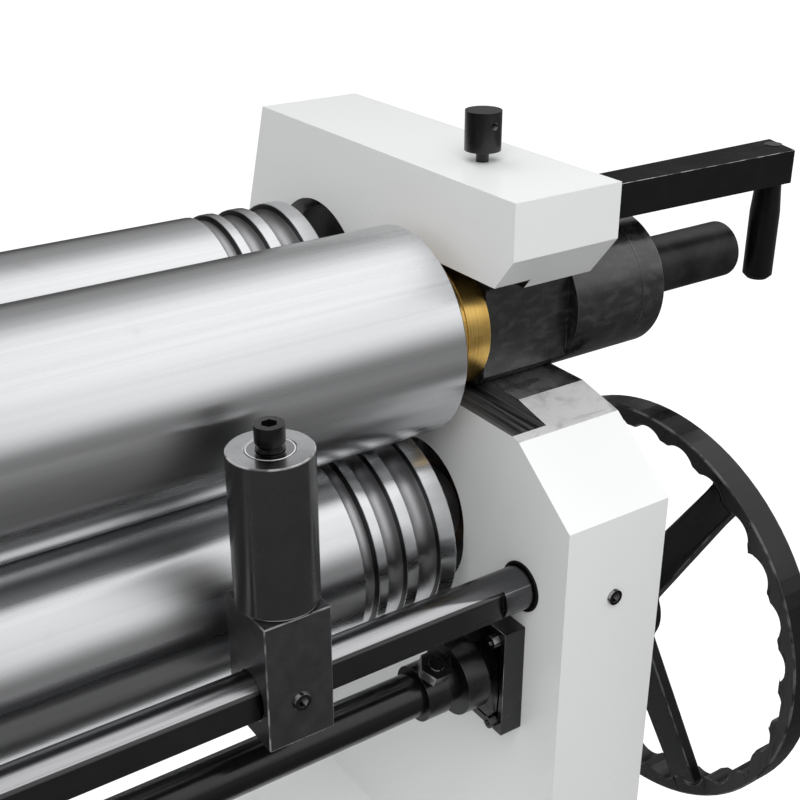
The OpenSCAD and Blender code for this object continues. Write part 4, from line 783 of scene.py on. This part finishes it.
# %% [markdown]
# ## The controls' guard ring and tick plate
# A yellow ring marks the stop button so that a hand finds it. The direction switch turns on a black
# ring with three raised ticks for its three places: reverse, stop and forward. The ticks are small bars,
# made once and turned about the switch's middle.

# %% Ring the button and the switch
def block(size_mm, centre_mm=(0.0, 0.0, 0.0)):
    """A new cuboid of that size about that centre."""
    deselect()
    bpy.ops.mesh.primitive_cube_add(size=1.0, location=[v * MM for v in centre_mm])
    bpy.context.object.scale = [v * MM for v in size_mm]
    apply_size()


stop_place = at(PANEL_X, PANEL_Y, 1005.0, "front")
switch_place = at(PANEL_X, PANEL_Y, 930.0, "front")
put(ring(21.5, 27.0, 1.4, 0.5), "stop_guard_ring", yellow, places=[stop_place])
put(ring(16.5, 25.0, 1.0, 0.3), "switch_plate", black_plastic, places=[switch_place])
block((1.4, 5.2, 0.8), (0.0, 20.8, 1.2))
put(round_edges(0.2), "switch_tick", pale, places=[
    switch_place @ Matrix.Rotation(math.radians(angle), 4, "Z") for angle in (-45, 0, 45)])

# %% [markdown]
# ## Doors of the two pedestals
# Each pedestal is a closed box with a door in its front, to reach the tools and the wiring kept there.
# A door stands 3.5 mm out with its rim, and a raised field stiffens it: a cube whose front is inset and
# pressed out, a little narrower at its top. The edge is rounded, as a fold is.

# %% Fold the doors
DOOR_Y, DOOR_T, DOOR_RIM, FIELD_RAISED = -146.0, 3.5, 28.0, 3.0


def door(x_low, x_high, z_low, z_high):
    """A door that covers those places, with its back at DOOR_Y."""
    block((x_high - x_low, DOOR_T, z_high - z_low),
          ((x_low + x_high) / 2, DOOR_Y - DOOR_T / 2, (z_low + z_high) / 2))
    pick(lambda normal: normal.y < -0.9)
    press(DOOR_RIM, FIELD_RAISED, narrowing=(0.965, 1.0, 0.98))
    return round_edges(1.2, 3)


put(door(672.5, 897.5, 44.5, 487.5), "right_door", white)
put(door(-948.0, -513.0, 44.5, 487.5), "left_door", white)

# %% [markdown]
# ## Hinges and latches
# A lift-off hinge is three short knuckles on one pin with a narrow gap between them. One knuckle is
# modelled and an Array modifier repeats it. A latch is a round quarter-turn lock: a dished disc with a
# raised bar to grip.

# %% Hang and lock the doors
def repeat(piece, count, step_mm):
    """Repeats the active piece with an Array, each copy one step on from the last."""
    row = piece.modifiers.new("row", "ARRAY")
    row.count = count
    row.use_relative_offset = False
    row.use_constant_offset = True
    row.constant_offset_displace = [v * MM for v in step_mm]
    bpy.ops.object.modifier_apply(modifier="row")


def join(*others):
    """Joins the other pieces into the active one."""
    for item in others:
        item.select_set(True)
    bpy.ops.object.join()


KNUCKLE_LONG, KNUCKLE_GAP = 17.0, 0.8
cylinder(4.5, KNUCKLE_LONG, sides=28)
knuckle = round_edges(0.6)
repeat(knuckle, 3, (0.0, 0.0, KNUCKLE_LONG + KNUCKLE_GAP))
put(knuckle, "door_hinge", machined, places=[
    at(x, DOOR_Y - 3.2, z) for x in (671.0, -949.5) for z in (90.0, 390.0)])

cylinder(15.0, 5.0)
pick(lambda normal: normal.z > 0.9)
press(3.0, -2.0)
dish = round_edges(0.6)
block((5.0, 22.0, 5.0), (0.0, 0.0, 5.0))
grip = round_edges(0.9, 3)
join(dish)
put(grip, "door_latch", black_plastic, places=[
    at(x, DOOR_Y - 3.4, 266.0, "front") for x in (883.0, -527.5)])

# %% [markdown]
# ## Louvres
# The motor's heat leaves through louvres: slits whose upper lip is pressed out into a small hood. A hood
# is a cube. Its upper side is drawn out so that the hood slopes, and its lower side is inset and pushed
# in, which leaves the mouth open. A grille is one hood repeated by an Array.

# %% Press the louvres
def louvres(length_mm, count, pitch_mm):
    """A column of hoods, pointing up out of their sheet, with the hoods' open side towards -Y."""
    block((length_mm, 9.0, 5.0), (0.0, 0.0, 2.5))
    pick(lambda normal: normal.y > 0.9)
    bpy.ops.transform.translate(value=(0.0, 4.0 * MM, -1.0 * MM))
    bpy.ops.object.mode_set(mode="OBJECT")
    pick(lambda normal: normal.y < -0.9)
    press(1.2, -6.0)
    hood = round_edges(0.9, 3)
    repeat(hood, count, (0.0, pitch_mm, 0.0))
    return hood


CABINET_X, CABINET_FRONT_Y, CABINET_BACK_Y = -788.0, -173.5, 218.5
put(louvres(210.0, 7, 20.0), "front_louvres", white,
    places=[at(CABINET_X, CABINET_FRONT_Y, 660.0, "front")])
half_turn = Matrix.Rotation(math.pi, 4, "Z")
put(louvres(240.0, 9, 20.0), "back_louvres", white,
    places=[at(CABINET_X, CABINET_BACK_Y, 680.0, "back") @ half_turn])

# %% [markdown]
# ## The cabinet's cable gland and screws
# The wiring goes in through a sealed gland in the back, which here is closed by its blind cap. A gland
# is a hexagon nut with a domed ring over it: two primitives joined. Six screws hold the sheet in front,
# and six the one behind, round the louvres.

# %% Fit the gland and the screws
cylinder(15.0, 8.0, sides=6)
nut = round_edges(0.8)
cylinder(12.0, 14.0, low_mm=7.0)
pick(lambda normal: normal.z > 0.9)
press(4.0, -1.5)
cap = round_edges(1.6, 3)
join(nut)
put(cap, "cable_gland", black_plastic, places=[
    at(-900.0, CABINET_BACK_Y, 640.0, "back")])

sheets = ((CABINET_FRONT_Y, "front"), (CABINET_BACK_Y, "back"))
sheet_screws = [(CABINET_X + x, z) for x in (-170.0, 0.0, 170.0) for z in (626.0, 1150.0)]
put(pan_screw(9.0), "sheet_screw", machined, places=[
    at(x, y, z, side) for x, z in sheet_screws for y, side in sheets])

# %% [markdown]
# ## The guard plate behind the left frame
# The end frame doesn't cover the whole mouth of the cabinet, so a thin steel plate closes what is left
# and keeps fingers out of the gears. It has one window for the two geared shafts. The window is made
# from a cube: its two broad faces are inset, and the inner faces are sized to the window, moved to its
# place and opened through.

# %% Cut the guard plate
PLATE_WIDE, PLATE_HIGH, WINDOW_WIDE, WINDOW_HIGH, MARGIN = 386.0, 550.0, 110.0, 235.0, 120.0
block((1.5, PLATE_WIDE, PLATE_HIGH), (-599.8, 22.5, 888.0))
pick(lambda normal: abs(normal.x) > 0.9)
bpy.ops.mesh.inset(thickness=MARGIN * MM)
bpy.ops.transform.resize(value=(
    1.0, WINDOW_WIDE / (PLATE_WIDE - 2 * MARGIN), WINDOW_HIGH / (PLATE_HIGH - 2 * MARGIN)))
bpy.ops.transform.translate(value=(0.0, -27.5 * MM, 99.5 * MM))
open_through()
put(round_edges(0.3), "gear_guard_plate", white)

# %% [markdown]
# ## Weld beads
# The pedestals are welded to their foot plates. A bead is a row of overlapping drops, each laid as the
# welder moves on by about 4 mm, so one flattened ball is modelled and repeated along the seam.

# %% Lay the beads
DROP_PITCH = 4.0


def bead(length_mm):
    """A bead of that length along X, from the origin on."""
    deselect()
    bpy.ops.mesh.primitive_uv_sphere_add(segments=10, ring_count=6, radius=1.0)
    drop = bpy.context.object
    drop.scale = (3.4 * MM, 4.2 * MM, 4.2 * MM)
    apply_size()
    bpy.ops.object.shade_smooth()
    repeat(drop, int(length_mm / DROP_PITCH), (DROP_PITCH, 0.0, 0.0))
    return drop


for side, x_low, length in (("right", 643.0, 288.0), ("left", -976.0, 496.0)):
    put(bead(length), f"{side}_foot_bead", white,
        places=[at(x_low, y, 12.5) for y in (-148.5, 148.5)])
    put(bead(length), f"{side}_bed_bead", white,
        places=[at(x_low, y, 520.0) for y in (-146.5, 146.5)])

# %% [markdown]
# ## Grease nipples
# The bearings of the driven end are greased through nipples. A nipple has a hexagon foot, a tapered
# neck and a ball that the grease gun grips: a cylinder, a cone and a sphere joined.

# %% Screw in the nipples
cylinder(5.0, 4.0, sides=6)
foot = round_edges(0.4)
deselect()
bpy.ops.mesh.primitive_cone_add(
    vertices=24, radius1=3.2 * MM, radius2=1.8 * MM, depth=4.0 * MM, location=(0, 0, 6.0 * MM))
neck = round_edges(0.2)
deselect()
bpy.ops.mesh.primitive_uv_sphere_add(
    segments=24, ring_count=12, radius=2.6 * MM, location=(0, 0, 9.0 * MM))
ball = round_edges(0.1)
join(foot, neck)
LEFT_FRAME_FRONT_Y = -147.5
put(ball, "grease_nipple", brass, places=[
    at(-560.0, LEFT_FRAME_FRONT_Y, z, "front") for z in (760.0, 1060.0)])

# %% [markdown]
# ## Studio
# The picture was taken on a white sweep, in a light tent with black cards round it. The cards are what
# give polished steel its dark bands: without them the rolls would be plain white. Here the tent and the
# mat under the front are shown only to mirror rays, the floor stays white to the camera, and one soft
# lamp above, in front and to the left makes the level faces brighter than the upright ones. A weaker one
# behind lifts the tops.

# %% Floor
def backdrop_rays(tree):
    """1 for rays that show the background: the camera's, and those in metal and glass."""
    path = add(tree, "LightPath")
    return add(tree, "Math", {
        0: add(tree, "Math", {
            0: path.outputs["Is Camera Ray"],
            1: path.outputs["Is Glossy Ray"]}, operation="MAXIMUM").outputs[0],
        1: path.outputs["Is Transmission Ray"]}, operation="MAXIMUM").outputs[0]


bpy.ops.mesh.primitive_plane_add(size=40.0, location=(0.0, 0.0, -0.0006))
floor = bpy.context.object
floor.name = "studio_floor"
material, tree, shader, place = start("studio_floor_paper")
paper = add(tree, "Mix", {
    "Factor": add(tree, "TexNoise", {
        "Vector": place, "Scale": 300.0, "Detail": 2.0}).outputs["Fac"],
    6: paint("#A2A2A2"), 7: paint("#A8A8A8")}, data_type="RGBA").outputs[2]
tree.links.new(paper, shader.inputs["Base Color"])
shader.inputs["Roughness"].default_value = 0.9
shader.inputs["Emission Color"].default_value = (1.0, 1.0, 1.0, 1.0)
# Its own light makes up what the lamps leave short of white
lift = add(tree, "Math", {0: backdrop_rays(tree), 1: 0.82}, operation="MULTIPLY").outputs[0]
tree.links.new(lift, shader.inputs["Emission Strength"])
floor.data.materials.append(material)
print("floor:", floor.name)

# %% World
world = bpy.data.worlds.new("studio")
bpy.context.scene.world = world
world.use_nodes = True
tree = world.node_tree
tree.nodes.clear()
lit = add(tree, "Background", {"Color": (1.0, 1.0, 1.0, 1.0), "Strength": 0.62})
seen = add(tree, "Background", {"Color": (1.0, 1.0, 1.0, 1.0), "Strength": 1.0})
shown = add(tree, "MixShader", {
    "Fac": backdrop_rays(tree), 1: lit.outputs["Background"], 2: seen.outputs["Background"]})
add(tree, "OutputWorld", {"Surface": shown.outputs["Shader"]})
print("world:", world.name)


# %% Tent and mat, seen only in reflections
def mirror_only(item):
    """Lets only mirror rays meet the item."""
    item.visible_camera = False
    item.visible_diffuse = False
    item.visible_transmission = False
    item.visible_shadow = False


def glow(name):
    """A material that only shines, with its tree, its Emission shader and its Object coordinates."""
    material = bpy.data.materials.new(name)
    material.use_nodes = True
    tree = material.node_tree
    tree.nodes.clear()
    emission = add(tree, "Emission")
    add(tree, "OutputMaterial", {"Surface": emission.outputs["Emission"]})
    place = add(tree, "TexCoord").outputs["Object"]
    return material, tree, emission, place


bpy.ops.mesh.primitive_uv_sphere_add(segments=48, ring_count=24, radius=7.0, location=(0.8, 0.0, 1.0))
tent = bpy.context.object
tent.name = "studio_tent"
mirror_only(tent)
material, tree, emission, place = glow("tent_cloth")
way = add(tree, "SeparateXYZ", {
    "Vector": add(tree, "VectorMath", {0: place}, operation="NORMALIZE").outputs["Vector"]})
# Dim at floor height and brightest overhead, then weaker to the back, and nearly dark to the left
level = 1.0
for axis, low, high, at_low, at_high in (
        ("Z", -0.01, 0.42, 0.22, 1.06), ("Z", 0.5, 0.9, 1.0, 1.15),
        ("Y", 0.22, 0.88, 1.0, 0.3), ("X", -0.55, 0.2, 0.015, 1.0)):
    step = add(tree, "MapRange", {
        "Value": way.outputs[axis], "From Min": low, "From Max": high, "To Min": at_low,
        "To Max": at_high}, interpolation_type="SMOOTHSTEP").outputs["Result"]
    level = add(tree, "Math", {0: level, 1: step}, operation="MULTIPLY").outputs[0]
tree.links.new(level, emission.inputs["Strength"])
tent.data.materials.append(material)

bpy.ops.mesh.primitive_plane_add(size=13.0, location=(0.8, 0.0, -0.0003))
mat = bpy.context.object
mat.name = "studio_mat"
mirror_only(mat)
material, tree, emission, place = glow("mat_cloth")
distance = add(tree, "VectorMath", {0: place}, operation="LENGTH")
level = add(tree, "MapRange", {
    "Value": distance.outputs["Value"], "From Min": 0.3, "From Max": 4.5, "To Min": 0.1,
    "To Max": 0.25}, interpolation_type="SMOOTHSTEP").outputs["Result"]
tree.links.new(level, emission.inputs["Strength"])
mat.data.materials.append(material)
print("seen in reflections only:", tent.name, mat.name)


# %% Lamp and camera
def soft_light(name, place, aim, size, power):
    """A square area lamp at place, turned towards aim."""
    lamp = bpy.data.lights.new(name, "AREA")
    lamp.energy = power
    lamp.size = size
    item = bpy.data.objects.new(name, lamp)
    item.location = place
    item.rotation_euler = (Vector(aim) - Vector(place)).to_track_quat("-Z", "Y").to_euler()
    item.visible_glossy = False
    bpy.context.scene.collection.objects.link(item)


soft_light("key", place=(-0.43, -1.83, 3.37), aim=(0.85, -0.1, 1.0), size=2.2, power=61.0)
soft_light("top", place=(0.75, 1.3, 3.6), aim=(0.85, 0.0, 1.1), size=1.6, power=13.0)

CAMERA_AT = right(-427.6, -519.9, 201.7)
LOOK = Vector((0.5056, 0.7476, -0.4307))
lens = bpy.data.cameras.new("camera")
lens.lens = 57.31
lens.sensor_width = 36.0
lens.clip_start = 0.02
camera = bpy.data.objects.new("camera", lens)
camera.location = CAMERA_AT
camera.rotation_euler = LOOK.to_track_quat("-Z", "Y").to_euler()
bpy.context.scene.collection.objects.link(camera)
bpy.context.scene.camera = camera
bpy.context.scene.view_settings.view_transform = "Standard"
print("camera at", [round(v, 4) for v in CAMERA_AT])
